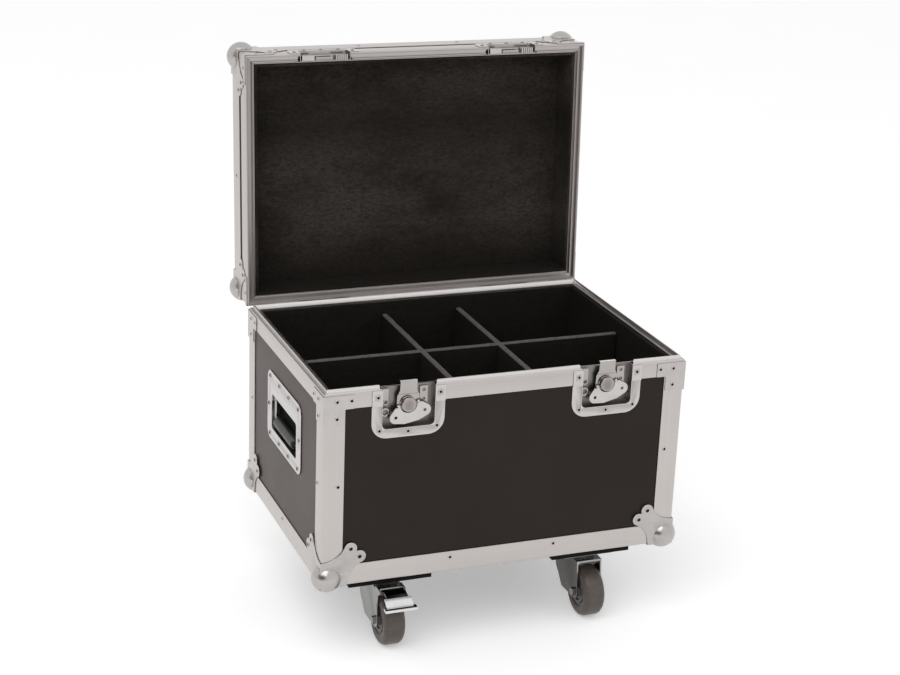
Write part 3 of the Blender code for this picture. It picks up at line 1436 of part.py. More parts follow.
def brake_pedal():
    """The brake pedal across the fork's front, with its pivot at the origin and its lip at the front."""
    metal = PEDAL_METAL
    brow = PEDAL_BROW
    rise = PEDAL_BROW_RISE
    reach = PEDAL_REACH
    slope = PEDAL_SLOPE
    arm = prism(
        [
            (0, PEDAL_SLEEVE_RADIUS - metal),
            (0, PEDAL_SLEEVE_RADIUS),
            (-brow, PEDAL_SLEEVE_RADIUS + rise - slope / 2),
            (-reach, PEDAL_SLEEVE_RADIUS - slope),
            (-reach, PEDAL_SLEEVE_RADIUS - slope - metal),
            (-brow, PEDAL_SLEEVE_RADIUS + rise - slope / 2 - metal),
        ],
        -PEDAL_HALF,
        PEDAL_HALF,
        "x",
    )
    pad_top = PEDAL_SLEEVE_RADIUS - slope
    pad = prism(
        [
            (-reach + metal, pad_top + metal / 2),
            (-reach - PEDAL_LIP, pad_top - PEDAL_LIP_DROP),
            (-reach - PEDAL_LIP, pad_top - PEDAL_LIP_DROP - metal * 2),
            (-reach, pad_top - metal - PEDAL_LIP_DROP),
            (-reach + metal, pad_top - metal),
        ],
        -PEDAL_LIP_HALF,
        PEDAL_LIP_HALF,
        "x",
    )
    tongue = prism(
        [
            (-brow - metal, PEDAL_SLEEVE_RADIUS + rise - slope / 2 - metal * 3 / 2),
            (-brow - metal, PEDAL_SLEEVE_RADIUS - slope / 2 + rise / 2),
            (-reach, pad_top),
            (-reach, pad_top - metal),
        ],
        -PEDAL_TONGUE_HALF,
        PEDAL_TONGUE_HALF,
        "x",
    )
    sleeve = rod(0, 0, PEDAL_SLEEVE_RADIUS, -PEDAL_HALF, PEDAL_HALF, "x")
    made = joined(arm, pad, tongue, sleeve)
    return carved(made, rod(0, 0, PEDAL_PIN_RADIUS + GAP, -PEDAL_LIP_HALF, PEDAL_LIP_HALF, "x"))


def braced_fork(plain):
    """The fork of a castor with a brake, which also carries the pedal's pin."""
    y = -CASTOR_TRAIL - PEDAL_PIVOT_FORWARD
    z = CASTOR_HEIGHT - PEDAL_PIVOT_DROP
    inside = LEG_INSIDE
    outside = LEG_INSIDE + LEG_METAL
    pin = rod(y, z, PEDAL_PIN_RADIUS, -outside, outside, "x")
    ears = []
    for low, high in ((-outside, -inside), (inside, outside)):
        outline = [
            (-CASTOR_TRAIL, z - PEDAL_SLEEVE_RADIUS * 2),
            (y, z - PEDAL_SLEEVE_RADIUS),
            (y - PEDAL_SLEEVE_RADIUS, z),
            (y, z + PEDAL_SLEEVE_RADIUS),
            (-CASTOR_TRAIL, z + PEDAL_SLEEVE_RADIUS),
        ]
        ears.append(prism(outline, low, high, "x"))
    return joined(plain, *ears, pin)


castors = (
    ("front_left", -1, -1, True),
    ("front_right", 1, -1, False),
    ("rear_left", -1, 1, False),
    ("rear_right", 1, 1, True),
)
for place, sx, sy, braked in castors:
    spot = (sx * CASTOR_X, sy * CASTOR_Y, 0)
    named(moved(castor_plate(), Matrix.Translation(spot)), place + "_castor_plate", "zinc", root)
    swivel = holder(place + "_swivel_line", root, spot)
    fork = braced_fork(castor_fork()) if braked else castor_fork()
    named(fork, place + "_castor_fork", "zinc", swivel)
    wheel = castor_wheel()
    named(wheel, place + "_wheel", "tyre", swivel)
    wheel.location = (0, -CASTOR_TRAIL, WHEEL_RADIUS)
    if braked:
        pedal = brake_pedal()
        named(pedal, place + "_brake_pedal", "steel", swivel)
        pedal.location = (0, -CASTOR_TRAIL - PEDAL_PIVOT_FORWARD, CASTOR_HEIGHT - PEDAL_PIVOT_DROP)
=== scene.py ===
import math
from contextlib import contextmanager

import bmesh
import bpy
from mathutils import Matrix, Vector, noise


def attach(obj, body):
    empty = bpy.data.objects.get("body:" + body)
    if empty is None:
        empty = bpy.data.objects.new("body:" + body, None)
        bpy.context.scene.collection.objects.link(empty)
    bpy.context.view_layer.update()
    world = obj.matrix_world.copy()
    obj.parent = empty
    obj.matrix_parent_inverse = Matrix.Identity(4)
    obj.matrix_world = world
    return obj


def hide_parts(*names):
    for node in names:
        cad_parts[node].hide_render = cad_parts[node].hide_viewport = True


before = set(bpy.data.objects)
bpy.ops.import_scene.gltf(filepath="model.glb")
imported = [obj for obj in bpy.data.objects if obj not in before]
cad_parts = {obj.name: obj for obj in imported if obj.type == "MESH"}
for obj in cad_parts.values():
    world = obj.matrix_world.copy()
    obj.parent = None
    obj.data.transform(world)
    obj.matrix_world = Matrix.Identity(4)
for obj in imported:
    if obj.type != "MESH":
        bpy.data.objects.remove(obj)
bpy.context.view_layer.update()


# Camera, fitted to the straight edges of the case

IMAGE_WIDTH = 900
FOCAL_PIXELS = 1941
SENSOR = 36.0
CAMERA_PLACE = Vector((-1.0605, -2.6786, 1.4246))
CAMERA_TURN = math.radians(-21.60)
CAMERA_DOWN = math.radians(19.50)
CAMERA_ROLL = math.radians(2.30)


def linked(name, data):
    """A new object in the scene."""
    made = bpy.data.objects.new(name, data)
    bpy.context.scene.collection.objects.link(made)
    return made


def set_camera():
    level_reach = math.cos(CAMERA_DOWN)
    ahead = Vector(
        (-math.sin(CAMERA_TURN) * level_reach, math.cos(CAMERA_TURN) * level_reach, -math.sin(CAMERA_DOWN))
    )
    level = ahead.cross(Vector((0, 0, 1))).normalized()
    upright = level.cross(ahead)
    right = math.cos(CAMERA_ROLL) * level + math.sin(CAMERA_ROLL) * upright
    up = math.cos(CAMERA_ROLL) * upright - math.sin(CAMERA_ROLL) * level
    data = bpy.data.cameras.new("camera")
    data.sensor_width = SENSOR
    data.lens = FOCAL_PIXELS / IMAGE_WIDTH * SENSOR
    camera = linked("camera", data)
    turn = Matrix((right, up, -ahead)).transposed()
    camera.matrix_world = Matrix.Translation(CAMERA_PLACE) @ turn.to_4x4()
    bpy.context.scene.camera = camera


# Shader arithmetic and the parts that every finish is made of


class Amount:
    """A number that varies over a surface. Its arithmetic adds Math nodes."""

    def __init__(self, finish, socket):
        self.finish = finish
        self.socket = socket

    def _with(self, operation, first, second):
        return self.finish.amount("Math", {"operation": operation}, {0: first, 1: second})

    def __add__(self, other):
        return self._with("ADD", self, other)

    def __sub__(self, other):
        return self._with("SUBTRACT", self, other)

    def __rsub__(self, other):
        return self._with("SUBTRACT", other, self)

    def __mul__(self, other):
        return self._with("MULTIPLY", self, other)

    __radd__ = __add__
    __rmul__ = __mul__


class Finish:
    """A material with one Principled shader, for one slot of the part."""

    def __init__(self, name, slot=""):
        self.slot = slot
        self.material = bpy.data.materials.new(name)
        self.material.use_nodes = True
        self.tree = self.material.node_tree
        self.shader = self.tree.nodes["Principled BSDF"]
        self.place = self.node("TexCoord").outputs["Object"]

    def node(self, kind, settings=None, sockets=None):
        node = self.tree.nodes.new("ShaderNode" + kind)
        for name, setting in (settings or {}).items():
            setattr(node, name, setting)
        for name, value in (sockets or {}).items():
            self.feed(node.inputs[name], value)
        return node

    def amount(self, kind, settings, sockets, output=0):
        return Amount(self, self.node(kind, settings, sockets).outputs[output])

    def feed(self, socket, value):
        if isinstance(value, Amount):
            value = value.socket
        if isinstance(value, bpy.types.NodeSocket):
            self.tree.links.new(value, socket)
        else:
            socket.default_value = (*value, 1) if socket.type == "RGBA" and len(value) == 3 else value

    def noise(self, scale, detail=3, rough=0.5, stretch=(1, 1, 1)):
        place = self.node("Mapping", None, {"Vector": self.place, "Scale": stretch}).outputs[0]
        sockets = {"Vector": place, "Scale": scale, "Detail": detail, "Roughness": rough}
        return self.amount("TexNoise", None, sockets)

    def cells(self, scale):
        return self.amount("TexVoronoi", None, {"Vector": self.place, "Scale": scale})

    def heights(self):
        """How high each spot of the surface lies, in metres."""
        return self.amount("SeparateXYZ", None, {0: self.place}, 2)

    def between(self, amount, low, high, start=0.0, end=1.0):
        return self.amount("MapRange", None, {0: amount, 1: low, 2: high, 3: start, 4: end})

    def blend(self, amount, first, second):
        return self.node("Mix", {"data_type": "RGBA"}, {0: amount, 6: first, 7: second}).outputs[2]

    def hollows(self):
        """Where the surface turns inwards: the mask of painted shade in hollows."""
        return self.between(self.amount("NewGeometry", None, None, "Pointiness"), 0.5, 0.44)

    def coat(self, colour, roughness, metallic=0.0, **fixed):
        sockets = {"Base Color": colour, "Roughness": roughness, "Metallic": metallic}
        sockets.update({name.replace("_", " "): value for name, value in fixed.items()})
        for name, value in sockets.items():
            self.feed(self.shader.inputs[name], value)

    def relief(self, height, depth):
        bump = self.node("Bump", None, {"Height": height, "Distance": depth, "Strength": 1.0})
        self.feed(self.shader.inputs["Normal"], bump.outputs[0])
        return self


def toned(colour, share):
    """A colour made lighter or darker by a share."""
    return tuple(part * share for part in colour)


def brushed_aluminium(name, stretch, tone):
    """Drawn aluminium: fine lines along its length, a cloudy sheen and thin scratches."""
    look = Finish(name, "aluminium")
    lines = look.noise(500, 2, 0.5, stretch)
    broad = look.noise(7, 4, 0.55)
    scuffs = look.between(look.noise(60, 6, 0.7, stretch), 0.68, 0.76)
    clouds = look.between(lines, 0.3, 0.7) * 0.5 + look.between(broad, 0.35, 0.65) * 0.5
    colour = look.blend(clouds, toned(tone, 0.92), toned(tone, 1.05))
    colour = look.blend(scuffs * 0.35, colour, (0.42, 0.40, 0.385))
    roughness = look.between(lines, 0.3, 0.7, 0.27, 0.38) + look.between(broad, 0.3, 0.7, -0.03, 0.06)
    look.coat(colour, roughness + scuffs * 0.12, 1.0)
    return look.relief(lines * 0.7 + scuffs * -0.5, 0.00004)


def plated_steel(name, tone, low_gloss, high_gloss, hollow_shade_share, slot="plated_steel"):
    """Pressed and plated sheet: orange-peel, clouds in the plate, dull scratches and painted shade
    darkening its hollows.
    """
    look = Finish(name, slot)
    clouds = look.noise(45, 4, 0.6)
    peel = look.noise(900, 2, 0.5)
    fine = look.between(look.noise(240, 5, 0.75, (1, 1, 0.16)), 0.62, 0.72)
    colour = look.blend(look.between(clouds, 0.32, 0.68), toned(tone, 0.92), toned(tone, 1.04))
    # Painted shade: the hollows are darkened towards a third of the tone, by the given share.
    colour = look.blend(look.hollows() * hollow_shade_share, colour, toned(tone, 0.35))
    look.coat(colour, look.between(clouds, 0.3, 0.7, low_gloss, high_gloss) + fine * 0.14, 1.0)
    return look.relief(peel * 0.5 + fine * -0.5, 0.00002)


def shaded_hollow(name, tone):
    """Painted shade for the inside of a small hollow: a dull near-black finish with a faint mottle."""
    look = Finish(name)
    hollow_mottle = look.noise(700, 3, 0.6)
    deep = (tone, tone * 0.9, tone * 0.85)
    colour = look.blend(look.between(hollow_mottle, 0.3, 0.7), deep, toned(deep, 2))
    look.coat(colour, look.between(hollow_mottle, 0.3, 0.7, 0.75, 0.95), Specular_IOR_Level=0.05)
    return look.relief(hollow_mottle, 0.00003)


def faced_plywood():
    """Near-black brown laminate with a fine pebbled face, faint haze and a few dry scuffs."""
    look = Finish("laminate_face")
    haze = look.noise(6, 5, 0.6)
    scuffs = look.between(look.noise(38, 7, 0.75, (1, 1, 0.4)), 0.665, 0.74)
    colour = look.blend(look.between(haze, 0.3, 0.7), (0.0115, 0.0085, 0.0064), (0.0165, 0.0122, 0.0096))
    colour = look.blend(scuffs * 0.25, colour, (0.05, 0.043, 0.038))
    roughness = look.between(haze, 0.3, 0.7, 0.33, 0.42) + scuffs * 0.15
    sheen = {"Sheen_Weight": 0.10, "Sheen_Roughness": 0.40, "Sheen_Tint": (1, 0.55, 0.50)}
    look.coat(colour, roughness, Specular_IOR_Level=0.2, Specular_Tint=(1, 0.88, 0.85), **sheen)
    return look.relief(look.cells(1400) * 0.6 + haze * 0.2, 0.00006)


def stained_board():
    """Black stained plywood of the castor boards, with its plies just showing on the edges."""
    look = Finish("castor_board_stain")
    plies = look.noise(1, 2, 0.4, (3, 3, 900))
    grain = look.noise(90, 5, 0.6, (1, 0.12, 1))
    stain = look.between(plies * 0.6 + grain * 0.4, 0.35, 0.65)
    colour = look.blend(stain, (0.004, 0.0035, 0.003), (0.014, 0.011, 0.010))
    look.coat(colour, look.between(grain, 0.3, 0.7, 0.6, 0.8), Specular_IOR_Level=0.12)
    return look.relief(grain + plies * 0.5, 0.00015)


def felted_foam(name, tone, hue=(1.0, 0.90, 0.78), coarse=40, rubbed_and_lit=False):
    """Black foam with an open, felted skin. The tone says how light it is."""
    look = Finish(name, "foam")
    pores = look.cells(1100)
    tufts = look.noise(260, 6, 0.75)
    strokes = look.noise(230, 5, 0.85, (0.5, 1, 1))
    lumps = look.noise(coarse, 4, 0.6)
    mottle = look.between(tufts * 0.4 + strokes * 0.6, 0.38, 0.62)
    colour = look.blend(mottle, toned(hue, 0.0050 * tone), toned(hue, 0.0110 * tone))
    # Worn patches on the lid foam, painted lighter towards the top of the open lid as if lit from above,
    # and kept darker in a band at a fold as painted shade.
    if rubbed_and_lit:
        height = look.heights()
        patches = look.between(look.noise(4.2, 5, 0.62, (0.8, 1, 1.5)), 0.38, 0.62)
        fold = look.between(height, 0.62, 0.69) * look.between(height, 0.77, 0.70)
        pressed = patches * look.between(height, 0.445, 0.54) * (1 - fold * 0.75)
        rub_and_light_share = pressed * (0.2 + look.between(strokes, 0.35, 0.65) * 0.9)
        colour = look.blend(rub_and_light_share, colour, (0.0660, 0.0565, 0.0500))
    look.coat(colour, look.between(tufts, 0.3, 0.7, 0.74, 0.95), Specular_IOR_Level=0.12)
    return look.relief(pores * 0.4 + tufts * 0.8 + strokes * 1.4 + lumps * 1.6, 0.0009)


def moulded_rubber(name, deep, pale, gloss, fine, slot):
    """Moulded rubber or soft plastic with a fine grain, dusty patches and rubbed marks."""
    look = Finish(name, slot)
    grain = look.noise(fine, 4, 0.7)
    dust = look.between(look.noise(70, 6, 0.7), 0.45, 0.75)
    streaks = look.noise(180, 3, 0.6, (0.12, 1, 1))
    colour = look.blend(look.between(grain * 0.4 + streaks * 0.6, 0.3, 0.7), deep, pale)
    colour = look.blend(dust * 0.4, colour, toned(pale, 1.35))
    look.coat(colour, look.between(dust, 0.0, 1.0, gloss, gloss + 0.18))
    return look.relief(grain + streaks * 0.4, 0.00012)


def plain_pale_floor():
    """A pale floor that shows near white to the camera and in metal, and keeps the object's shadow."""
    look = Finish("pale_floor")
    look.coat(look.blend(look.noise(3), (0.90,) * 3, (0.93,) * 3), 0.9, Specular_IOR_Level=0.1)
    path = look.node("LightPath")
    camera, glossy, through = (
        Amount(look, path.outputs[f"Is {ray} Ray"]) for ray in ("Camera", "Glossy", "Transmission")
    )
    lifted = look.blend(camera + glossy + through, (0, 0, 0), (FLOOR_LIFT,) * 3)
    look.feed(look.shader.inputs["Emission Color"], lifted)
    look.shader.inputs["Emission Strength"].default_value = 1
    return look


FLOOR_LIFT = 0.34
ALONG = 0.004
ACROSS, DEEP, UPRIGHT = (ALONG, 1, 1), (1, ALONG, 1), (1, 1, ALONG)
DRAWN_ALUMINIUM = (0.515, 0.480, 0.466)
ALUMINIUM_X = brushed_aluminium("drawn_aluminium_across", ACROSS, DRAWN_ALUMINIUM)
ALUMINIUM_Y = brushed_aluminium("drawn_aluminium_deep", DEEP, DRAWN_ALUMINIUM)
ALUMINIUM_Z = brushed_aluminium("drawn_aluminium_upright", UPRIGHT, DRAWN_ALUMINIUM)
# Painted shade: darker copies of the drawn aluminium for the mouth of the lid's extrusion, with the sides
# darker still.
MOUTH_SHADE_X = brushed_aluminium("mouth_shade_aluminium_across", ACROSS, (0.470, 0.442, 0.430))
MOUTH_SHADE_Z = brushed_aluminium("mouth_shade_aluminium_upright", UPRIGHT, (0.350, 0.320, 0.308))
# Painted highlight: a far lighter copy of the drawn aluminium for the long tops of the base rim, as lit
# from above.
LIT_TOP_X = brushed_aluminium("lit_top_aluminium_across", ACROSS, (0.680, 0.655, 0.640))
CORNER_ZINC = plated_steel("corner_zinc", (0.455, 0.435, 0.422), 0.20, 0.32, 0.6, "corner_steel")
BRACE_ZINC = plated_steel("brace_zinc", (0.490, 0.465, 0.455), 0.26, 0.38, 0.5)
BRIGHT_PLATE = plated_steel("bright_plate", (0.530, 0.508, 0.496), 0.20, 0.30, 0.6)
MECHANISM_PLATE = plated_steel("mechanism_plate", (0.400, 0.375, 0.358), 0.16, 0.28, 0.8)
CAM_PLATE = plated_steel("cam_plate", (0.340, 0.305, 0.296), 0.16, 0.26, 0.8)
# Painted shade: a darker copy of the plate for the pans of the latch and handle dishes.
PAN_SHADE_PLATE = plated_steel("pan_shade_plate", (0.270, 0.250, 0.236), 0.30, 0.44, 0.8)
# Painted highlight: a far lighter copy of the plate for the hook's lip.
LIT_LIP_PLATE = plated_steel("lit_lip_plate", (0.780, 0.760, 0.750), 0.46, 0.58, 0.4)
# Painted shade: a darker copy of the plate for the keepers' pans.
KEEPER_PAN_SHADE = plated_steel("keeper_pan_shade", (0.420, 0.398, 0.385), 0.14, 0.24, 0.7)
CASTOR_ZINC = plated_steel("castor_zinc", (0.340, 0.336, 0.330), 0.16, 0.28, 0.7, "castor_steel")
# Painted shade: a darker copy of the castor zinc for the leg sides of forks without a brake.
LEG_SHADE_ZINC = plated_steel("leg_shade_zinc", (0.150, 0.138, 0.130), 0.16, 0.26, 0.7)
PEDAL_CHROME = plated_steel("pedal_chrome", (0.700, 0.705, 0.710), 0.07, 0.14, 0.4, "pedal_steel")
PEDAL_SHADE = plated_steel("pedal_shade", (0.085, 0.095, 0.095), 0.08, 0.16, 0.4)
# Painted shade: a near-black finish for the floors of shallow rivet holes, standing in for the shade of a
# deep hole.
RIVET_HOLE_SHADE = shaded_hollow("rivet_hole_shade", 0.003)
GROOVE_SHADE = shaded_hollow("groove_shade", 0.014)
LAMINATE = faced_plywood()
BOARD_STAIN = stained_board()
LINING_FOAM = felted_foam("lining_foam", 1.5, coarse=30)
# Lid foam with worn patches that are painted lighter towards the top, as if lit from above.
LID_FOAM_SKIN = felted_foam("lid_foam", 1.9, (1.0, 0.82, 0.66), 55, rubbed_and_lit=True)
DIVIDER_FOAM = felted_foam("divider_foam", 1.6)
# Painted light: a far paler copy of the divider foam for their tops, as if lit from above.
DIVIDER_TOP = felted_foam("divider_lit_top_foam", 15.0, (1.0, 0.90, 0.84))
GRIP_TONES = (0.016, 0.0155, 0.015), (0.030, 0.029, 0.028)
TYRE_TONES = (0.068, 0.053, 0.045), (0.098, 0.079, 0.068)
HUB_TONES = (0.066, 0.056, 0.050), (0.094, 0.082, 0.074)
GRIP_RUBBER = moulded_rubber("grip_rubber", *GRIP_TONES, 0.38, 900, "grip")
TYRE_RUBBER = moulded_rubber("tyre_rubber", *TYRE_TONES, 0.36, 600, "tyre")
HUB_PLASTIC = moulded_rubber("hub_plastic", *HUB_TONES, 0.30, 800, "tyre")


# Sizes of the case, as its frame has them.

# Case
WIDTH = 0.570
DEPTH = 0.398
BASE_HEIGHT = 0.3025
LID_HEIGHT = 0.082
LID_OPEN_DEG = 92.6
GAP = 0.0003
PANEL_THICK = 0.009

# Edge angles
EDGE_METAL = 0.0015
EDGE_FLANGE = 0.0325
EDGE_ROUND = 0.0025
LID_EDGE_FLANGE = 0.038

# Closing extrusions along the parting line
RIM_WIDTH = 0.014
RIM_METAL = 0.0015
RIM_WEB = 0.002
RIM_FLANGE = 0.0245
LID_RIM_FLANGE = 0.031
RIM_CHAMFER = 0.0012
INNER_METAL = 0.0017
INNER_DROP = 0.012
TONGUE_HEIGHT = 0.0052
TONGUE_WIDTH = 0.0048
TONGUE_TAPER = 0.0006
TONGUE_BEVEL = 0.0018
TONGUE_INSET = 0.0044
GROOVE_CLEARANCE = 0.0008
GROOVE_SPARE = 0.0004
GROOVE_ROOF = 0.0015
LID_LIP_WIDTH = 0.0112
LID_LIP_STEP = 0.005

# Foam and dividers
LINING_INSET = 0.0188
LINING_TOP_DROP = 0.003
FLOOR_FOAM = 0.008
LID_FOAM = 0.010
DIVIDER_THICK = 0.010
DIVIDER_DROP = 0.022
DIVIDER_X = 0.064
DIVIDER_GROOVE = 0.003

# Rivets
RIVET_RISE = 0.0011
RIVET_FLOOR = 0.0002
EDGE_RIVET_INSET = 0.0235
POST_RIVET_DROP = 0.144
FRONT_RIVET_X = 0.084

# Ball corners
BALL_RADIUS = 0.0225
BALL_INSET = 0.0115
PLATE_METAL = 0.0013
PETAL_EDGE = 0.040
LOBE_NEAR = 0.0446
LOBE_FAR = 0.0583
LOBE_RADIUS = 0.010

# Corner braces on the closing extrusions
BRACE_ARM = 0.046
BRACE_POST_WIDTH = 0.0310
BRACE_POST_ARM = 0.048
BRACE_METAL = 0.0012
BRACE_TOP_DROP = 0.003
LID_BRACE_RISE = 0.0118
BRACE_RIVET_NEAR = 0.0195
BRACE_RIVET_FAR = 0.041
BRACE_RIVET_ROW = 0.012
LID_RIVET_ROW = 0.0076
BRACE_RIVET_LOW = 0.038

# Hinges
HINGE_X = 0.157
HINGE_BACK = 0.0036
HINGE_DROP = 0.003
HINGE_WIDTH = 0.083
KNUCKLE_RADIUS = 0.0031
PIN_RADIUS = 0.0016
LID_KNUCKLE_SHARE = 0.36
LEAF_METAL = 0.0015
BASE_LEAF_DROP = 0.0242
LID_LEAF_RISE = 0.029
LEAF_RIVET_ROW = 0.0175
LEAF_RIVET_PITCH = 0.027
STOP_BACK = 0.0058
STOP_REACH = 0.0105

# Latches
LATCH_X = 0.157
LATCH_FLANGE_WIDTH = 0.112
LATCH_FLANGE_DROP = 0.0765
LATCH_FLANGE_ROUND = 0.024
LATCH_FLANGE_METAL = 0.0012
LATCH_OPEN_WIDTH = 0.080
LATCH_OPEN_DROP = 0.0615
LATCH_OPEN_ROUND = 0.007
PAN_DEPTH = 0.0120
PAN_METAL = 0.0011
LATCH_RIVET_INSET = 0.0085
LATCH_RIVET_DROP = 0.0115
KEEPER_PAN_RISE = 0.020
KEEPER_FLANGE_RISE = 0.0300
KEEPER_FLANGE_ROUND = 0.009
KEEPER_HALF_WIDTH = 0.014
KEEPER_LOW = 0.0054
KEEPER_METAL = 0.0016
KEEPER_LEDGE = 0.0069

# Latch hook, cam and wing
CAM_DROP = 0.027
DISC_RADIUS = 0.0112
DISC_RISE = 0.0028
DISC_CHAMFER = 0.0006
STEM_RADIUS = 0.0040
CAM_RADIUS = 0.0060
CAM_OFFSET = 0.0012
CAM_FRONT = 0.0062
CAM_BACK = 0.0092
CROSS_PIN_RADIUS = 0.0010
CROSS_PIN_HALF = 0.0172
CROSS_PIN_DEPTH = 0.0010
HOOK_METAL = 0.0016
HOOK_DEPTH = 0.0050
HOOK_TOP = 0.0090
HOOK_TOP_WIDTH = 0.026
HOOK_WAIST_WIDTH = 0.034
HOOK_WAIST_DROP = 0.014
HOOK_FOOT_WIDTH = 0.030
HOOK_LIP = 0.0027
HOOK_HOLE_RADIUS = 0.0092
HOOK_PIVOT_DROP = 0.047
HOOK_PIVOT_DEPTH = 0.0073
HOOK_BARREL_RADIUS = 0.0022
HOOK_BARREL_HALF = 0.0165
HOOK_STUB_RADIUS = 0.0012
LUG_METAL = 0.0016
LUG_HALF_HEIGHT = 0.0032
HOOK_TILT_DEG = 3.5
WING_METAL = 0.0016
WING_DEPTH = 0.0002
WING_NOTCH_RADIUS = 0.0130
WING_LOBE_X = 0.0225
WING_LOBE_DROP = 0.0153
WING_LOBE_RADIUS = 0.0094
WING_LOW_EDGE = 0.0284
WING_EAR_INNER = 0.0136
WING_EAR_OUTER = 0.0170
WING_EAR_RISE = 0.0024
WING_HOLE_RADIUS = 0.0023
EAR_RADIUS = 0.0021
LEFT_WING_TURN_DEG = 11
RIGHT_WING_TURN_DEG = 14

# Side handles
HANDLE_FLANGE_WIDTH = 0.177
HANDLE_FLANGE_TOP_DROP = 0.061
HANDLE_FLANGE_HEIGHT = 0.112
HANDLE_FLANGE_ROUND = 0.015
HANDLE_OPEN_WIDTH = 0.131
HANDLE_OPEN_TOP_DROP = 0.0965
HANDLE_OPEN_HEIGHT = 0.0565
HANDLE_OPEN_ROUND = 0.005
HANDLE_PAN_DEPTH = 0.0175
HANDLE_PAN_METAL = 0.0012
HANDLE_FLANGE_METAL = 0.0015
HANDLE_RIVET_INSET = 0.0085
HANDLE_RIVET_SHARES = (-0.84, -0.28, 0.28, 0.84)
BAIL_PIVOT_DROP = 0.1035
BAIL_PIVOT_DEPTH = 0.0055
BAIL_ROD_RADIUS = 0.0028
BAIL_HALF_WIDTH = 0.0575
BAIL_STUB_HALF = 0.0645
BAIL_ARM = 0.0335
BAIL_BEND = 0.008
GRIP_RADIUS = 0.0085
GRIP_HALF = 0.0480
GRIP_ROUND = 0.0015
HANDLE_LUG_METAL = 0.0018
HANDLE_LUG_RADIUS = 0.0047

# Castors
WHEEL_RADIUS = 0.040
WHEEL_WIDTH = 0.034
HUB_RADIUS = 0.0235
HUB_RECESS = 0.003
HUB_BOSS_RADIUS = 0.009
HUB_HALF = 0.0172
AXLE_RADIUS = 0.0040
CASTOR_HEIGHT = 0.1030
CASTOR_TRAIL = 0.035
CASTOR_X = 0.165
CASTOR_Y = 0.123
PLATE_LENGTH = 0.078
PLATE_WIDTH = 0.092
PLATE_THICK = 0.0025
PLATE_ROUND = 0.008
BOLT_RADIUS = 0.0055
BOLT_RISE = 0.003
BOLT_INSET = 0.010
KINGPIN_RADIUS = 0.006
KINGPIN_HEAD_RADIUS = 0.0085
RACE_RADIUS = 0.021
RACE_DROP = 0.0045
CROWN_RADIUS = 0.0255
CROWN_METAL = 0.0035
CROWN_DROP = 0.0078
LEG_METAL = 0.0025
LEG_INSIDE = 0.0186
LEG_REAR = 0.042
LEG_REAR_SHARES = ((0.955, 0.62), (0.81, 0.505), (0.60, 0.427), (0.26, 0.272))
LEG_FOOT_RADIUS = 0.0115
AXLE_NUT_RADIUS = 0.0065
AXLE_NUT_THICK = 0.0045
BOARD_BELOW = 0.0235

# Brake pedal
PEDAL_PIVOT_FORWARD = 0.017
PEDAL_PIVOT_DROP = 0.0105
PEDAL_PIN_RADIUS = 0.0022
PEDAL_SLEEVE_RADIUS = 0.0044
PEDAL_HALF = 0.0168
PEDAL_TONGUE_HALF = 0.021
PEDAL_LIP_HALF = 0.025
PEDAL_METAL = 0.0022
PEDAL_BROW = 0.024
PEDAL_BROW_RISE = 0.0035
PEDAL_REACH = 0.036
PEDAL_SLOPE = 0.010
PEDAL_LIP = 0.009
PEDAL_LIP_DROP = 0.002

# Segments of the round forms
ROUND_STEPS = 8
BALL_STEPS = 48
TUBE_STEPS = 20
WHEEL_STEPS = 80

# Sizes that follow from the ones above
BASE_LOW = CASTOR_HEIGHT + BOARD_BELOW
PARTING = BASE_LOW + BASE_HEIGHT
LID_TOP = PARTING + LID_HEIGHT
FRONT = -DEPTH / 2
BACK = DEPTH / 2
SIDE = WIDTH / 2
PANEL_OUT = EDGE_METAL + GAP
PANEL_IN = PANEL_OUT + PANEL_THICK
LINING_NECK = RIM_WIDTH + GAP
FLOOR_TOP = BASE_LOW + PANEL_IN
FOAM_FLOOR = FLOOR_TOP + GAP + FLOOR_FOAM
LID_WEB = TONGUE_HEIGHT + GROOVE_SPARE + GROOVE_ROOF
LID_FOAM_ROOF = LID_TOP - PANEL_IN - GAP - LID_FOAM
HINGE_Y = BACK + HINGE_BACK
HINGE_Z = PARTING - HINGE_DROP
PIN_BORE = PIN_RADIUS + GAP
WHEEL_BORE = AXLE_RADIUS + GAP
OPEN = math.radians(LID_OPEN_DEG)
REAR_REACH = HINGE_Y - (DEPTH + HINGE_BACK - BALL_INSET) * math.cos(OPEN)
REAR_REACH += (LID_HEIGHT + HINGE_DROP - BALL_INSET) * math.sin(OPEN) + BALL_RADIUS
FRONT_REACH = CASTOR_Y + CASTOR_TRAIL + PEDAL_PIVOT_FORWARD + PEDAL_REACH + PEDAL_LIP
SHIFT_Y = (FRONT_REACH - REAR_REACH) / 2


# Everything below is made round the middle of the case and carried to the frame's place

CASE_PLACE = Matrix.Translation((0, SHIFT_Y, 0))
NO_TURN = Matrix.Identity(4)
SIDES = (-1, 1)
CORNERS = [(sx, sy) for sx in SIDES for sy in SIDES]


def shifted(x=0, y=0, z=0):
    return Matrix.Translation((x, y, z))


def turned_about(point, angle, axis):
    """A turn about an axis through a point."""
    return shifted(*point) @ Matrix.Rotation(angle, 4, axis) @ shifted(*(-part for part in point))


LID_PLACE = turned_about((0, HINGE_Y, HINGE_Z), -OPEN, "X")


# Ways of making a form


@contextmanager
def edited(mesh):
    """A mesh opened for editing and written back afterwards."""
    form = bmesh.new()
    form.from_mesh(mesh)
    yield form
    form.to_mesh(mesh)
    form.free()


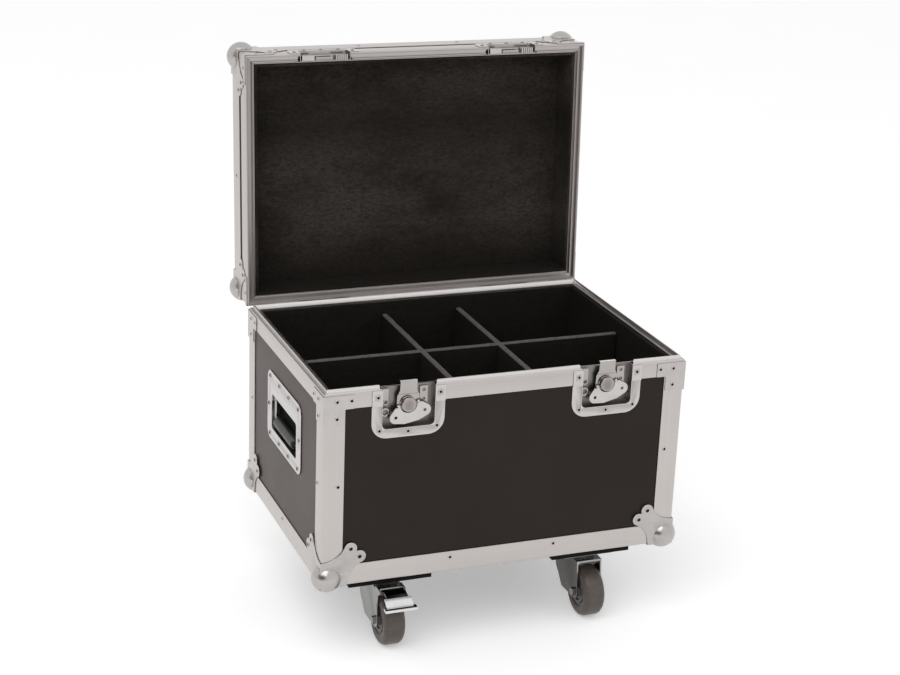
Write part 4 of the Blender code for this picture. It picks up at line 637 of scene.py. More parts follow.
def solid(points, faces):
    """A closed mesh object from points and faces, turned to face outwards."""
    mesh = bpy.data.meshes.new("solid")
    mesh.from_pydata(points, [], faces)
    with edited(mesh) as form:
        bmesh.ops.recalc_face_normals(form, faces=form.faces)
        if form.calc_volume(signed=True) < 0:
            bmesh.ops.reverse_faces(form, faces=form.faces)
    return linked("solid", mesh)


def placed(u, v, along, axis):
    """A point from its outline coordinates and its place along the axis."""
    return {"x": (along, u, v), "y": (u, along, v), "z": (u, v, along)}[axis]


def between_ends(first, second):
    """The solid between two outlines with as many points."""
    count = len(first)
    faces = [tuple(range(count)), tuple(range(2 * count - 1, count - 1, -1))]
    for i in range(count):
        j = (i + 1) % count
        faces.append((i, j, j + count, i + count))
    return solid(first + second, faces)


def prism(outline, low, high, axis):
    """An outline carried from low to high along x, y or z."""
    return between_ends(*([placed(u, v, end, axis) for u, v in outline] for end in (low, high)))


def block(low, high):
    """A box between two corners."""
    return prism(rectangle(*low[:2], *high[:2]), low[2], high[2], "z")


def rectangle(u0, v0, u1, v1):
    """The corners of an upright rectangle, counter-clockwise."""
    return [(u0, v0), (u1, v0), (u1, v1), (u0, v1)]


def arc(centre, radius, start, end, steps):
    """Points of an arc, with its angles in degrees."""
    points = []
    for i in range(steps + 1):
        angle = math.radians(start + (end - start) * i / steps)
        points.append((centre[0] + radius * math.cos(angle), centre[1] + radius * math.sin(angle)))
    return points


def circle(u, v, radius, steps):
    """The points of a circle in an outline plane."""
    angles = [2 * math.pi * i / steps for i in range(steps)]
    return [(u + radius * math.cos(angle), v + radius * math.sin(angle)) for angle in angles]


def rod(u, v, radius, low, high, axis, steps=TUBE_STEPS):
    """A round bar along x, y or z."""
    return prism(circle(u, v, radius, steps), low, high, axis)


def rounded(corners, radii, steps=ROUND_STEPS):
    """An outline whose corners are rounded by one radius, or by the radius given for each."""
    points = []
    if not isinstance(radii, tuple):
        radii = (radii,) * len(corners)
    for i, radius in enumerate(radii):
        here = Vector(corners[i])
        if radius == 0:
            points.append(tuple(here))
            continue
        before = (Vector(corners[i - 1]) - here).normalized()
        after = (Vector(corners[(i + 1) % len(corners)]) - here).normalized()
        half = before.angle(after) / 2
        reach = radius / math.tan(half)
        middle = here + (before + after).normalized() * radius / math.sin(half)
        start = here + before * reach - middle
        turn = start.angle_signed(here + after * reach - middle)
        for step in range(steps + 1):
            points.append(tuple(middle + Matrix.Rotation(-turn * step / steps, 2) @ start))
    return points


def sheet(outline, radii, low, high, axis):
    """A rectangle with rounded corners carried from low to high."""
    return prism(rounded(rectangle(*outline), radii), low, high, axis)


def ring_points(profile, steps, axis, centre):
    """The points of a profile of (radius, along) points, at each step round the axis."""
    points = []
    for i in range(steps):
        angle = 2 * math.pi * i / steps
        for radius, along in profile:
            point = Vector(placed(radius * math.cos(angle), radius * math.sin(angle), along, axis))
            points.append(tuple(point + Vector(centre)))
    return points


def lathe(profile, steps, axis, centre=(0, 0, 0)):
    """A closed profile turned about an axis through the centre."""
    faces = []
    count = len(profile)
    for i in range(steps):
        j = (i + 1) % steps
        for a in range(count):
            b = (a + 1) % count
            faces.append((i * count + a, i * count + b, j * count + b, j * count + a))
    return solid(ring_points(profile, steps, axis, centre), faces)


def turned(profile, steps, axis, centre=(0, 0, 0)):
    """An open profile that starts and ends on the axis, turned into a solid."""
    faces = []
    count = len(profile) - 2
    first = steps * count
    for i in range(steps):
        j = (i + 1) % steps
        for a in range(count - 1):
            faces.append((i * count + a, i * count + a + 1, j * count + a + 1, j * count + a))
        faces.append((first, i * count, j * count))
        faces.append((first + 1, j * count + count - 1, i * count + count - 1))
    poles = [(0, profile[0][1]), (0, profile[-1][1])]
    points = ring_points(profile[1:-1], steps, axis, centre) + ring_points(poles, 1, axis, centre)
    return solid(points, faces)


def ball(centre, radius):
    """A sphere whose poles lie along z."""
    rings = BALL_STEPS // 2
    angles = [math.pi * i / rings for i in range(rings + 1)]
    profile = [(radius * math.sin(angle), -radius * math.cos(angle)) for angle in angles]
    return turned(profile, BALL_STEPS, "z", centre)


def tube(path, radius, steps=TUBE_STEPS):
    """A round rod swept along a flat path with closed ends."""
    points = []
    faces = []
    count = len(path)
    side = (path[1] - path[0]).normalized().orthogonal().normalized()
    for i, here in enumerate(path):
        ahead = (path[min(i + 1, count - 1)] - path[max(i - 1, 0)]).normalized()
        side = (side - ahead * side.dot(ahead)).normalized()
        other = ahead.cross(side)
        for u, v in circle(0, 0, 1, steps):
            points.append(tuple(here + (side * u + other * v) * radius))
    for low in range(0, (count - 1) * steps, steps):
        for step in range(steps):
            after = (step + 1) % steps
            faces.append((low + step, low + after, low + steps + after, low + steps + step))
    faces.append(tuple(range(steps - 1, -1, -1)))
    faces.append(tuple(range((count - 1) * steps, count * steps)))
    return solid(points, faces)


def boolean(base, other, operation):
    """The base joined with or cut by the other, which is used up."""
    modifier = base.modifiers.new("boolean", "BOOLEAN")
    modifier.operation = operation
    modifier.solver = "EXACT"
    modifier.object = other
    graph = bpy.context.evaluated_depsgraph_get()
    mesh = bpy.data.meshes.new_from_object(base.evaluated_get(graph))
    base.modifiers.clear()
    base.data = mesh
    bpy.data.objects.remove(other)
    return base


def joined(base, *others):
    """One body made of overlapping bodies."""
    for other in others:
        boolean(base, other, "UNION")
    return base


def carved(base, *cutters):
    """The base with the cutters taken out of it."""
    for cutter in cutters:
        boolean(base, cutter, "DIFFERENCE")
    return base


def moved(piece, matrix):
    """The piece with its mesh carried by a matrix."""
    piece.data.transform(matrix)
    if matrix.determinant() < 0:
        piece.data.flip_normals()
    return piece


def copied(piece, sx=1, sy=1):
    """A second object with its own copy of the mesh, mirrored where a sign is -1."""
    return moved(linked("solid", piece.data.copy()), Matrix.Diagonal((sx, sy, 1, 1)))


def both_halves(right):
    """A closed outline from its right half, which is given from its first end to its last."""
    left = [(-u, v) for u, v in reversed(right)]
    return left[-1:] + right + left[:-1]


def merged(first, *others):
    """One object that holds several closed bodies, with the finish of each face kept."""
    with edited(first.data) as form:
        for other in others:
            form.from_mesh(other.data)
            bpy.data.objects.remove(other)
    return first


SLIVER = 0.00002
FLAT_ANGLE = 0.01


def cleaned(piece):
    """The piece without the slivers that cutting leaves."""
    with edited(piece.data) as form:
        bmesh.ops.remove_doubles(form, verts=form.verts, dist=SLIVER)
        bmesh.ops.dissolve_limit(form, angle_limit=FLAT_ANGLE, verts=form.verts, edges=form.edges)
    return piece


def finished_with(piece, index):
    """The piece with all its faces in one of its finishes."""
    for face in piece.data.polygons:
        face.material_index = index
    return piece


RIVET_BORE = 0.0017
RIVET_COLLAR = 0.0020
RIVET_ROOT = 0.0010
RIVET_DOME = ((RIVET_COLLAR, 0.0016), (0.0025, 0.0015), (0.0030, 0.0011), (0.0034, 0.0003))


def rivet(place, outward, hole=1):
    """A domed rivet head with the hole of its pulled stem, whose shallow floor and sides take the finish
    with the hole's number: painted shade.
    """
    scale = RIVET_RISE / RIVET_DOME[1][1]
    profile = [(radius, height * scale) for radius, height in reversed(RIVET_DOME)]
    profile = [(0, -RIVET_ROOT), (RIVET_DOME[-1][0], -RIVET_ROOT), *profile]
    head = turned([*profile, (RIVET_BORE, RIVET_FLOOR), (0, RIVET_FLOOR)], 20, "z")
    for face in head.data.polygons:
        # These faces of the hole take its painted shade.
        if math.hypot(face.center.x, face.center.y) < RIVET_COLLAR and face.center.z > 0:
            face.material_index = hole
    facing = Vector(outward).to_track_quat("Z", "Y").to_matrix().to_4x4()
    return moved(head, shifted(*place) @ facing)


PAD_EDGE_SHARES = (0.0, 0.35, 0.7)
PAD_SWELLS = ((1, 1), (0.5, 2.3), (0.3, 5.1))
PAD_SWELL_MIDDLE = 0.9


def pad(low, high, cell, soft, depth, seed, wave=0.03):
    """A soft slab with rounded edges, whose faces swell and dip by a little."""
    lines = []
    for start, end in zip(low, high):
        steps = max(2, int((end - start - 2 * soft) / cell))
        inner = [start + soft + (end - start - 2 * soft) * i / steps for i in range(steps + 1)]
        rim = [soft * share for share in PAD_EDGE_SHARES]
        lines.append([start + part for part in rim] + inner + [end - part for part in reversed(rim)])
    form = bmesh.new()
    for axis in range(3):
        across, along = [other for other in range(3) if other != axis]
        for level in (low[axis], high[axis]):
            grid = []
            for u in lines[across]:
                point = [level] * 3
                point[across] = u
                row = [point[:along] + [v] + point[along + 1 :] for v in lines[along]]
                grid.append([form.verts.new(spot) for spot in row])
            for row, after in zip(grid, grid[1:]):
                for j in range(len(row) - 1):
                    form.faces.new((row[j], after[j], after[j + 1], row[j + 1]))
    bmesh.ops.remove_doubles(form, verts=form.verts, dist=0.00001)
    bmesh.ops.recalc_face_normals(form, faces=form.faces)
    for vertex in form.verts:
        core = Vector([min(max(vertex.co[i], low[i] + soft), high[i] - soft) for i in range(3)])
        outward = vertex.co - core
        if outward.length > 0:
            outward.normalize()
            spot = vertex.co / wave + Vector((seed, seed * 2, seed * 3))
            swell = sum(share * noise.noise(spot * pace) for share, pace in PAD_SWELLS)
            vertex.co = core + outward * (soft + depth * (swell - PAD_SWELL_MIDDLE))
    mesh = bpy.data.meshes.new("pad")
    form.to_mesh(mesh)
    form.free()
    return linked("pad", mesh)


SHARP = math.radians(38)
SOFT_EDGE = 0.0002
SOFT_LATCH = 0.00035
SOFT_FORK = 0.0004
SOFT_DISH = 0.0005
SOFT_CORNER = 0.0006


def settle(piece, node, body, finishes, place=NO_TURN, soften=0.0003, grain=None):
    """The piece in its finishes and its place, riding on its body in the stead of its plain node."""
    mesh = piece.data
    if grain:
        for face in mesh.polygons:
            if face.material_index == 0:
                face.material_index = grain(face.center)
    for finish in finishes:
        mesh.materials.append(finish.material)
    moved(piece, CASE_PLACE @ place)
    mesh.shade_smooth()
    mesh.set_sharp_from_angle(angle=SHARP)
    if soften:
        edge = piece.modifiers.new("soft edges", "BEVEL")
        edge.limit_method = "ANGLE"
        edge.angle_limit = SHARP
        edge.width = soften
        edge.segments = 2
        edge.use_clamp_overlap = False
        edge.harden_normals = True
    piece.name = node + "_detail"
    mesh.name = node + "_detail"
    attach(piece, body)
    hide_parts(node)
    return piece


def settle_foam(pads, node, body, finishes, place=NO_TURN, grain=None):
    """Foam slabs as one padded piece."""
    settle(merged(*pads), node, body, finishes, place, 0, grain)


# Drawn aluminium: angles on the edges and closing extrusions round the mouths

MITRE_SEAM = 0.0004
INNER_FACE = RIM_WIDTH - INNER_METAL
TONGUE_END = TONGUE_INSET + TONGUE_WIDTH
PAN_LOW = PARTING - LATCH_OPEN_DROP - PAN_METAL
PAN_WALL = LATCH_OPEN_WIDTH / 2 + PAN_METAL
KEEPER_ROOF = PARTING + KEEPER_PAN_RISE + PAN_METAL


def grain_of_base(middle):
    """The drawing direction at a point of the base: 0 across, 2 deep."""
    return 2 if SIDE - abs(middle.x) < BACK - abs(middle.y) else 0


def angle_bar(start, end, flange, axis, corner, turns):
    """An angle section with a rounded outer edge. The turns point from the corner into the case."""
    metal = EDGE_METAL
    steps = ((0, 0), (flange, 0), (flange, metal), (metal, metal), (metal, flange), (0, flange))
    outline = [(corner[0] + turns[0] * u, corner[1] + turns[1] * v) for u, v in steps]
    fine = metal * 0.4
    return prism(rounded(outline, (EDGE_ROUND, fine, 0, 0, 0, fine)), start, end, axis)


def corner_rivets(sx, sy, inset, height, out=0, hole=1):
    """One rivet on each of the two faces beside an upright edge."""
    return [
        rivet((sx * (SIDE - inset), sy * (BACK + out), height), (0, sy, 0), hole),
        rivet((sx * (SIDE + out), sy * (BACK - inset), height), (sx, 0, 0), hole),
    ]


def edge_frame(end, sign, post_end, flange):
    """The ring of angles round the closed end and the four posts, with their rivets."""
    bars = []
    low, high = sorted((end - sign * (flange + GAP), post_end))
    for sy in SIDES:
        bars.append(angle_bar(-SIDE, SIDE, flange, "x", (sy * BACK, end), (-sy, -sign)))
        for sx in SIDES:
            post = angle_bar(low, high, EDGE_FLANGE, "z", (sx * SIDE, sy * BACK), (-sx, -sy))
            bars.append(finished_with(post, 3))
    reach = BACK - flange - GAP
    for sx in SIDES:
        side_bar = angle_bar(-reach, reach, flange, "y", (sx * SIDE, end), (-sx, -sign))
        bars.append(finished_with(side_bar, 2))
    level = end - sign * EDGE_RIVET_INSET
    for side in SIDES:
        bars += [rivet((x, side * BACK, level), (0, side, 0)) for x in (-FRONT_RIVET_X, FRONT_RIVET_X)]
        bars.append(rivet((side * SIDE, 0, level), (side, 0, 0)))
    return merged(*bars)


def mitred_sides(profile):
    """A closed profile of (inset, height) points in four lengths round the case, mitred at the corners."""
    sides = []
    corners = ((-1, -1), (1, -1), (1, 1), (-1, 1))
    for first, second in zip(corners, corners[1:] + corners[:1]):
        shift = Vector((second[0] - first[0], second[1] - first[1])).normalized() * MITRE_SEAM / 2
        ends = []
        for (x, y), gap in ((first, shift), (second, -shift)):
            end = []
            for inset, up in profile:
                end.append((x * (SIDE - inset) + gap.x, y * (BACK - inset) + gap.y, PARTING + up))
            ends.append(end)
        sides.append(between_ends(*ends))
    return sides


def latch_rooms(low, high, flare):
    """Room for both latches in a front extrusion. Its sides run out diagonally behind the face."""
    right = [(PAN_WALL, FRONT - EDGE_FLANGE), (PAN_WALL, FRONT + EDGE_METAL)]
    right.append((PAN_WALL + flare, FRONT + INNER_FACE + GAP))
    room = prism(both_halves(right), low, high, "z")
    pair = [moved(copied(room), shifted(x)) for x in (-LATCH_X, LATCH_X)]
    bpy.data.objects.remove(room)
    return pair


SCORE_DEPTH = 0.0005
BASE_SCORES, BASE_SCORE_WIDTH = ((0.0030, 0), (0.0112, 0)), 0.0007
LID_SCORES, LID_SCORE_WIDTH = ((0.0026, GAP), (0.0126, LID_LIP_STEP)), 0.0006
BASE_ROOM_FLARE, LID_ROOM_FLARE = 0.008, 0.004


def scored(profile, sign, places, width):
    """The profile with fine drawn lines in its level faces, each given by its inset and height."""
    made = []
    for (inset, height), ahead in zip(profile, profile[1:] + profile[:1]):
        made.append((inset, height))
        if abs(ahead[1] - height) > GAP / 2:
            continue
        step = width / 2 if ahead[0] > inset else -width / 2
        for middle, level in sorted(places, reverse=ahead[0] < inset):
            if min(inset, ahead[0]) < middle < max(inset, ahead[0]) and abs(level - height) < GAP * 2:
                bottom = height - sign * SCORE_DEPTH
                made += [(middle - step, height), (middle, bottom), (middle + step, height)]
    return made


def base_rim():
    """The base's closing extrusion with its rounded tongue and drawn lines, cut for the latches."""
    soft = TONGUE_BEVEL / 2
    ease = RIM_CHAMFER * 0.3
    profile = [(0, -RIM_FLANGE), (0, -RIM_CHAMFER), (ease, -ease), (RIM_CHAMFER, 0)]
    profile += [
        (TONGUE_INSET, 0),
        (TONGUE_INSET + TONGUE_TAPER * 0.8, TONGUE_HEIGHT - soft),
        (TONGUE_INSET + TONGUE_TAPER * 1.6, TONGUE_HEIGHT - soft * 0.2),
        (TONGUE_INSET + TONGUE_TAPER * 3, TONGUE_HEIGHT),
        (TONGUE_END - TONGUE_BEVEL, TONGUE_HEIGHT - soft * 0.1),
        (TONGUE_END - TONGUE_BEVEL * 0.6, TONGUE_HEIGHT - soft),
        (TONGUE_END, 0),
    ]
    profile += [(RIM_WIDTH - soft * 0.3, 0), (RIM_WIDTH, -soft * 0.3), (RIM_WIDTH, -INNER_DROP)]
    profile += [(INNER_FACE, -INNER_DROP), (INNER_FACE, -RIM_WEB)]
    profile += [(RIM_METAL, -RIM_WEB), (RIM_METAL, -RIM_FLANGE)]
    sides = mitred_sides(scored(profile, 1, BASE_SCORES, BASE_SCORE_WIDTH))
    carved(sides[0], *latch_rooms(PAN_LOW, PARTING + RIM_FLANGE, BASE_ROOM_FLARE))
    return sides


def lid_rim():
    """The lid's closing extrusion with its groove and inner lip, cut for the keepers."""
    groove = (TONGUE_INSET - GROOVE_CLEARANCE, TONGUE_END + GROOVE_CLEARANCE)
    deep = TONGUE_HEIGHT + GROOVE_SPARE
    ease = RIM_CHAMFER * 0.3
    profile = [(0, LID_RIM_FLANGE), (0, RIM_CHAMFER), (ease, ease + GAP), (RIM_CHAMFER, GAP)]
    profile += [(groove[0], GAP), (groove[0], deep), (groove[1], deep), (groove[1], GAP)]
    profile += [(LID_LIP_WIDTH, GAP), (LID_LIP_WIDTH, LID_LIP_STEP), (RIM_WIDTH, LID_LIP_STEP)]
    profile += [(RIM_WIDTH, INNER_DROP), (INNER_FACE, INNER_DROP), (INNER_FACE, LID_WEB)]
    profile += [(RIM_METAL, LID_WEB), (RIM_METAL, LID_RIM_FLANGE)]
    sides = mitred_sides(scored(profile, -1, LID_SCORES, LID_SCORE_WIDTH))
    carved(sides[0], *latch_rooms(PARTING - RIM_FLANGE, KEEPER_ROOF, LID_ROOM_FLARE))
    return sides


def brace(sx, sy, high, low, post_low):
    """A corner brace on both faces of one upright edge."""
    out = GAP + BRACE_METAL
    arm = BRACE_ARM
    post = BRACE_POST_WIDTH
    soft = BRACE_METAL
    outline = rounded(rectangle(-out, low, arm, high), (0, soft, soft, 0))
    if post_low < low:
        corners = [(-out, post_low), (post, post_low), (post, low), (arm, low), (arm, high), (-out, high)]
        outline = rounded(corners, (0, soft, soft * 2, soft, soft, 0))
    along = prism([(sx * (SIDE - u), v) for u, v in outline], sy * (BACK + GAP), sy * (BACK + out), "y")
    across = prism([(sy * (BACK - u), v) for u, v in outline], sx * (SIDE + GAP), sx * (SIDE + out), "x")
    return finished_with(cleaned(joined(along, across)), 1)


def brace_rivets(sx, sy, spots):
    """The rivets of one brace, each pair given by its inset and its height from the parting line."""
    heads = []
    for inset, height in spots:
        heads += corner_rivets(sx, sy, inset, PARTING + height, GAP + BRACE_METAL, 4)
    return heads


def grain_of_base_rim(middle):
    """As on the base, with the inner web behind each latch in shade and the long tops in a painted
    highlight.
    """
    behind = INNER_FACE - GAP * 2 < BACK + middle.y < RIM_WIDTH * 2
    if behind and abs(abs(middle.x) - LATCH_X) < PAN_WALL:
        return 5
    # Painted highlight on the long tops.
    if middle.z > PARTING - RIM_CHAMFER / 2 and abs(middle.y) > BACK - RIM_WIDTH:
        return 6
    return grain_of_base(middle)


def grain_of_lid_rim(middle):
    """The mouth of the lid's extrusion is painted darker than its flange, as shade."""
    inset = min(SIDE - abs(middle.x), BACK - abs(middle.y))
    if middle.z - PARTING > LID_LIP_STEP + GAP * 3 or inset < RIM_CHAMFER / 2:
        return grain_of_base(middle)
    return 6 if grain_of_base(middle) else 5


BASE_FINISHES = (ALUMINIUM_X, RIVET_HOLE_SHADE, ALUMINIUM_Y, ALUMINIUM_Z)
LID_FINISHES = (ALUMINIUM_X, RIVET_HOLE_SHADE, ALUMINIUM_Z, ALUMINIUM_Y)
BASE_RIM_FINISHES = (ALUMINIUM_X, BRACE_ZINC, ALUMINIUM_Y, ALUMINIUM_Z)
BASE_RIM_FINISHES += (RIVET_HOLE_SHADE, GROOVE_SHADE, LIT_TOP_X)
LID_RIM_FINISHES = (ALUMINIUM_X, BRACE_ZINC, ALUMINIUM_Z, ALUMINIUM_Y)
LID_RIM_FINISHES += (RIVET_HOLE_SHADE, MOUTH_SHADE_X, MOUTH_SHADE_Z)
BASE_BRACE = (PARTING - BRACE_TOP_DROP, PARTING - RIM_FLANGE, PARTING - BRACE_POST_ARM)
LID_BRACE = (PARTING + LID_BRACE_RISE, PARTING + BRACE_TOP_DROP, PARTING + BRACE_TOP_DROP)
BASE_BRACE_SPOTS = [(inset, -BRACE_RIVET_ROW) for inset in (BRACE_RIVET_NEAR, BRACE_RIVET_FAR)]
BASE_BRACE_SPOTS.append((BRACE_RIVET_NEAR, -BRACE_RIVET_LOW))
LID_BRACE_SPOTS = [(inset, LID_RIVET_ROW) for inset in (BRACE_RIVET_NEAR, BRACE_RIVET_FAR)]
base_frame = edge_frame(BASE_LOW, -1, PARTING - RIM_FLANGE - GAP, EDGE_FLANGE)
lid_frame = edge_frame(LID_TOP, 1, PARTING + LID_RIM_FLANGE + GAP, LID_EDGE_FLANGE)
base_parts = base_rim()
lid_parts = lid_rim()
for sx, sy in CORNERS:
    merged(base_frame, *corner_rivets(sx, sy, EDGE_RIVET_INSET, PARTING - POST_RIVET_DROP))
    base_parts.append(brace(sx, sy, *BASE_BRACE))
    base_parts += brace_rivets(sx, sy, BASE_BRACE_SPOTS)
    lid_parts.append(brace(sx, sy, *LID_BRACE))
    lid_parts += brace_rivets(sx, sy, LID_BRACE_SPOTS)
settle(base_frame, "base_edge_angles", "case", BASE_FINISHES, soften=SOFT_EDGE)
settle(lid_frame, "lid_edge_angles", "lid", LID_FINISHES, LID_PLACE, soften=SOFT_EDGE)
base, lid = merged(*base_parts), merged(*lid_parts)
settle(base, "base_rim", "case", BASE_RIM_FINISHES, NO_TURN, SOFT_EDGE, grain_of_base_rim)
settle(lid, "lid_rim", "lid", LID_RIM_FINISHES, LID_PLACE, SOFT_EDGE, grain_of_lid_rim)


# Ball corners


def petal():
    """The outline of one riveted plate of a ball corner, from the corner outwards."""
    lobe = arc((LOBE_NEAR, LOBE_FAR), LOBE_RADIUS, 165, -15, 12)
    start = Vector((0, PETAL_EDGE))
    control = Vector((PETAL_EDGE * 0.62, PETAL_EDGE * 1.02))
    curve = []
    for step in range(1, 8):
        t = step / 8
        curve.append(tuple(start * (1 - t) ** 2 + control * (2 * t * (1 - t)) + Vector(lobe[0]) * t**2))
    out = GAP + PLATE_METAL
    first = [(-out, -out), (-out, PETAL_EDGE), (0, PETAL_EDGE)] + curve + lobe
    second = [(v, u) for u, v in reversed(first[1:])]
    valley = (first[-1][0] + second[0][0]) / 2 - LOBE_RADIUS * 0.12
    return first + [(valley, valley)] + second


def ball_corner(end, sign):
    """A ball corner for the left front edge. The sign points to the closed end of the shell."""
    out = GAP + PLATE_METAL
    outline = petal()
    shell = ball((-SIDE + BALL_INSET, FRONT + BALL_INSET, end - sign * BALL_INSET), BALL_RADIUS)
    metal = PLATE_METAL
    joined(
        shell,
        prism([(-SIDE + u, end - sign * v) for u, v in outline], FRONT - out, FRONT + metal, "y"),
        prism([(FRONT + u, end - sign * v) for u, v in outline], -SIDE - out, -SIDE + metal, "x"),
        prism([(-SIDE + u, FRONT + v) for u, v in outline], end - sign * metal, end + sign * out, "z"),
    )
    heads = []
    for u, v in ((LOBE_NEAR, LOBE_FAR), (LOBE_FAR, LOBE_NEAR)):
        heads.append(rivet((-SIDE + u, FRONT - out, end - sign * v), (0, -1, 0)))
        heads.append(rivet((-SIDE - out, FRONT + u, end - sign * v), (-1, 0, 0)))
        heads.append(rivet((-SIDE + u, FRONT + v, end + sign * out), (0, 0, sign)))
    low, high = sorted((end - sign * (PETAL_EDGE + LOBE_FAR), end + sign * GAP))
    reach = PETAL_EDGE * 2
    carved(shell, block((-SIDE - GAP, FRONT - GAP, low), (-SIDE + reach, FRONT + reach, high)))
    return merged(cleaned(shell), *heads)


mirrored_spots = (("rear_left", 1, -1), ("front_right", -1, 1), ("rear_right", -1, -1))
shells = (("base", BASE_LOW, -1, "case", NO_TURN), ("lid", LID_TOP, 1, "lid", LID_PLACE))
for group, end, sign, body, place in shells:
    first = ball_corner(end, sign)
    for spot, sx, sy in (*mirrored_spots, ("front_left", 1, 1)):
        corner = copied(first, sx, sy) if spot != "front_left" else first
        settle(corner, f"{group}_corner_{spot}", body, (CORNER_ZINC, RIVET_HOLE_SHADE), place, SOFT_CORNER)


# Foam lining and dividers

LINING_CELL = 0.010
LINING_SOFT = 0.0012
DIVIDER_CELL = 0.009
DIVIDER_SOFT = 0.0034
# Depth of the painted light along the divider tops.
LIT_TOP_BAND = 0.0028
DIVIDER_TOP_Z = PARTING - DIVIDER_DROP
DIVIDER_LOW_Z = FOAM_FLOOR - DIVIDER_GROOVE + GAP
LID_LINING_HIGH = LID_TOP - PANEL_IN - GAP
NECK_X = SIDE - LINING_NECK
NECK_Y = BACK - LINING_NECK
REACH_X = SIDE - LINING_INSET
REACH_Y = BACK - LINING_INSET
FLOOR_SWELL = 0.0004
BASE_WALL_SWELL = 0.0005
LID_WALL_SWELL = 0.0004
LID_END_LOOK = (0.005, 0.002, 0.0016)
LID_END_WAVE = 0.035
DIVIDER_SWELL = 0.0004
DIVIDER_WAVE = 0.02


def wall_pads(low, high, depth, seed):
    """Four foam slabs round the walls."""
    made = []
    look = (LINING_CELL, LINING_SOFT, depth)
    for sx in SIDES:
        x0, x1 = sorted((sx * NECK_X, sx * REACH_X))
        made.append(pad((x0, -NECK_Y, low), (x1, NECK_Y, high), *look, seed + sx))
    for sy in SIDES:
        y0, y1 = sorted((sy * NECK_Y, sy * REACH_Y))
        made.append(pad((-NECK_X, y0, low), (NECK_X, y1, high), *look, seed + sy * 3))
    return made


def end_pad(low, high, *look):
    """The foam slab across the closed end: its cell, rounding, depth and seed follow its two heights."""
    return pad((-NECK_X, -NECK_Y, low), (NECK_X, NECK_Y, high), *look)


def lit_divider_top(middle):
    """1 on the top of a divider, which is painted paler as if lit from above."""
    return 1 if middle.z > DIVIDER_TOP_Z - LIT_TOP_BAND else 0


def divider(node, low, high, seed):
    look = (DIVIDER_CELL, DIVIDER_SOFT, DIVIDER_SWELL)
    slab = pad((*low, DIVIDER_LOW_Z), high, *look, seed, DIVIDER_WAVE)
    settle_foam([slab], node, "case", (DIVIDER_FOAM, DIVIDER_TOP), grain=lit_divider_top)


pads = wall_pads(FLOOR_TOP + GAP, PARTING - LINING_TOP_DROP, BASE_WALL_SWELL, 2.0)
pads.append(end_pad(FLOOR_TOP + GAP, FOAM_FLOOR, LINING_CELL, LINING_SOFT, FLOOR_SWELL, 5.0))
settle_foam(pads, "base_lining", "case", (LINING_FOAM,))
half = DIVIDER_THICK / 2
for node, x, seed in (("left_divider", -DIVIDER_X, 7.0), ("right_divider", DIVIDER_X, 11.0)):
    divider(node, (x - half, -REACH_Y), (x + half, REACH_Y, DIVIDER_TOP_Z), seed)
divider("cross_divider", (-REACH_X, -half), (REACH_X, half, DIVIDER_TOP_Z - GAP), 17.0)
pads = wall_pads(PARTING + LINING_TOP_DROP, LID_LINING_HIGH, LID_WALL_SWELL, 23.0)
pads.append(end_pad(LID_FOAM_ROOF, LID_LINING_HIGH, *LID_END_LOOK, 31.0, LID_END_WAVE))
settle_foam(pads, "lid_lining", "lid", (LID_FOAM_SKIN,), LID_PLACE)


# Latches

FORWARD = (0, -1, 0)
CAM_Z = PARTING - CAM_DROP
HOOK_PIVOT = (FRONT + HOOK_PIVOT_DEPTH, PARTING - HOOK_PIVOT_DROP)
PAN_FLOOR = FRONT + PAN_DEPTH - PAN_METAL
PAN_MIDDLE = FRONT + PAN_DEPTH - PAN_METAL / 2

# Fittings in the recess: outlines from the latch's middle and the parting line, depths behind the front
BRACKET = (0.0190, -0.0300, 0.0315, -0.0035)
BRACKET_DEPTH = 0.0082
BRACKET_HOLE_X = 0.0255
BRACKET_HOLE_HEIGHTS = (-0.0095, -0.0235)
BRACKET_HOLE_RADIUS = 0.0025
BRACKET_HOLE_DEPTH = 0.0098
STRIP = (-0.0398, -0.0195, -0.0290, -0.0020)
STRIP_DEPTH = 0.0060
BOSS_X = -0.0330
BOSSES = ((0.0037, 0.0050, 0.0025), (-0.0120, 0.0070, 0.0040))
BOSS_BACK = 0.0110
BOSS_FACE = 0.0066
BOSS_ROUND = 0.0006
BOSS_FLOOR_INSET = 0.0004
BOSS_FLOOR_DEPTH = 0.0104
KEEPER_FITTING_DEPTH = 0.0032
KEEPER_BACK_PLATE = (-0.0385, 0.0125, 0.0385, KEEPER_PAN_RISE - GAP)
KEEPER_STEP = 0.0014
STOP_LOW = 0.0012
ROUND_STOP = (-0.0375, STOP_LOW, -0.0175, STOP_LOW + 0.0130)
RIB_START, RIB_PITCH, RIB_WIDTH, RIB_HEIGHT = 0.0175, 0.0034, 0.0024, 0.0100


def pan_side(middle):
    """0 on the flange, 2 in the pan of a latch, which is painted darker as shade."""
    return 2 if middle.y > FRONT + PANEL_OUT / 2 and abs(middle.x) < PAN_WALL else 0


def hook_part(middle):
    """1 on the lip that the hook ends in, painted light as a highlight."""
    return 1 if middle.z > PARTING + HOOK_TOP - HOOK_LIP else 0


def with_pan(flange, low, high, opening, radii):
    """A flange with a latch's pan behind it, open to the front between two heights."""
    half = LATCH_OPEN_WIDTH / 2
    near = FRONT - GAP - LATCH_FLANGE_METAL / 2
    joined(flange, block((-PAN_WALL, near, low), (PAN_WALL, FRONT + PAN_DEPTH, high)))
    mouth = (-half, opening[0], half, opening[1])
    return carved(flange, sheet(mouth, radii, FRONT - EDGE_FLANGE, PAN_FLOOR, "y"))


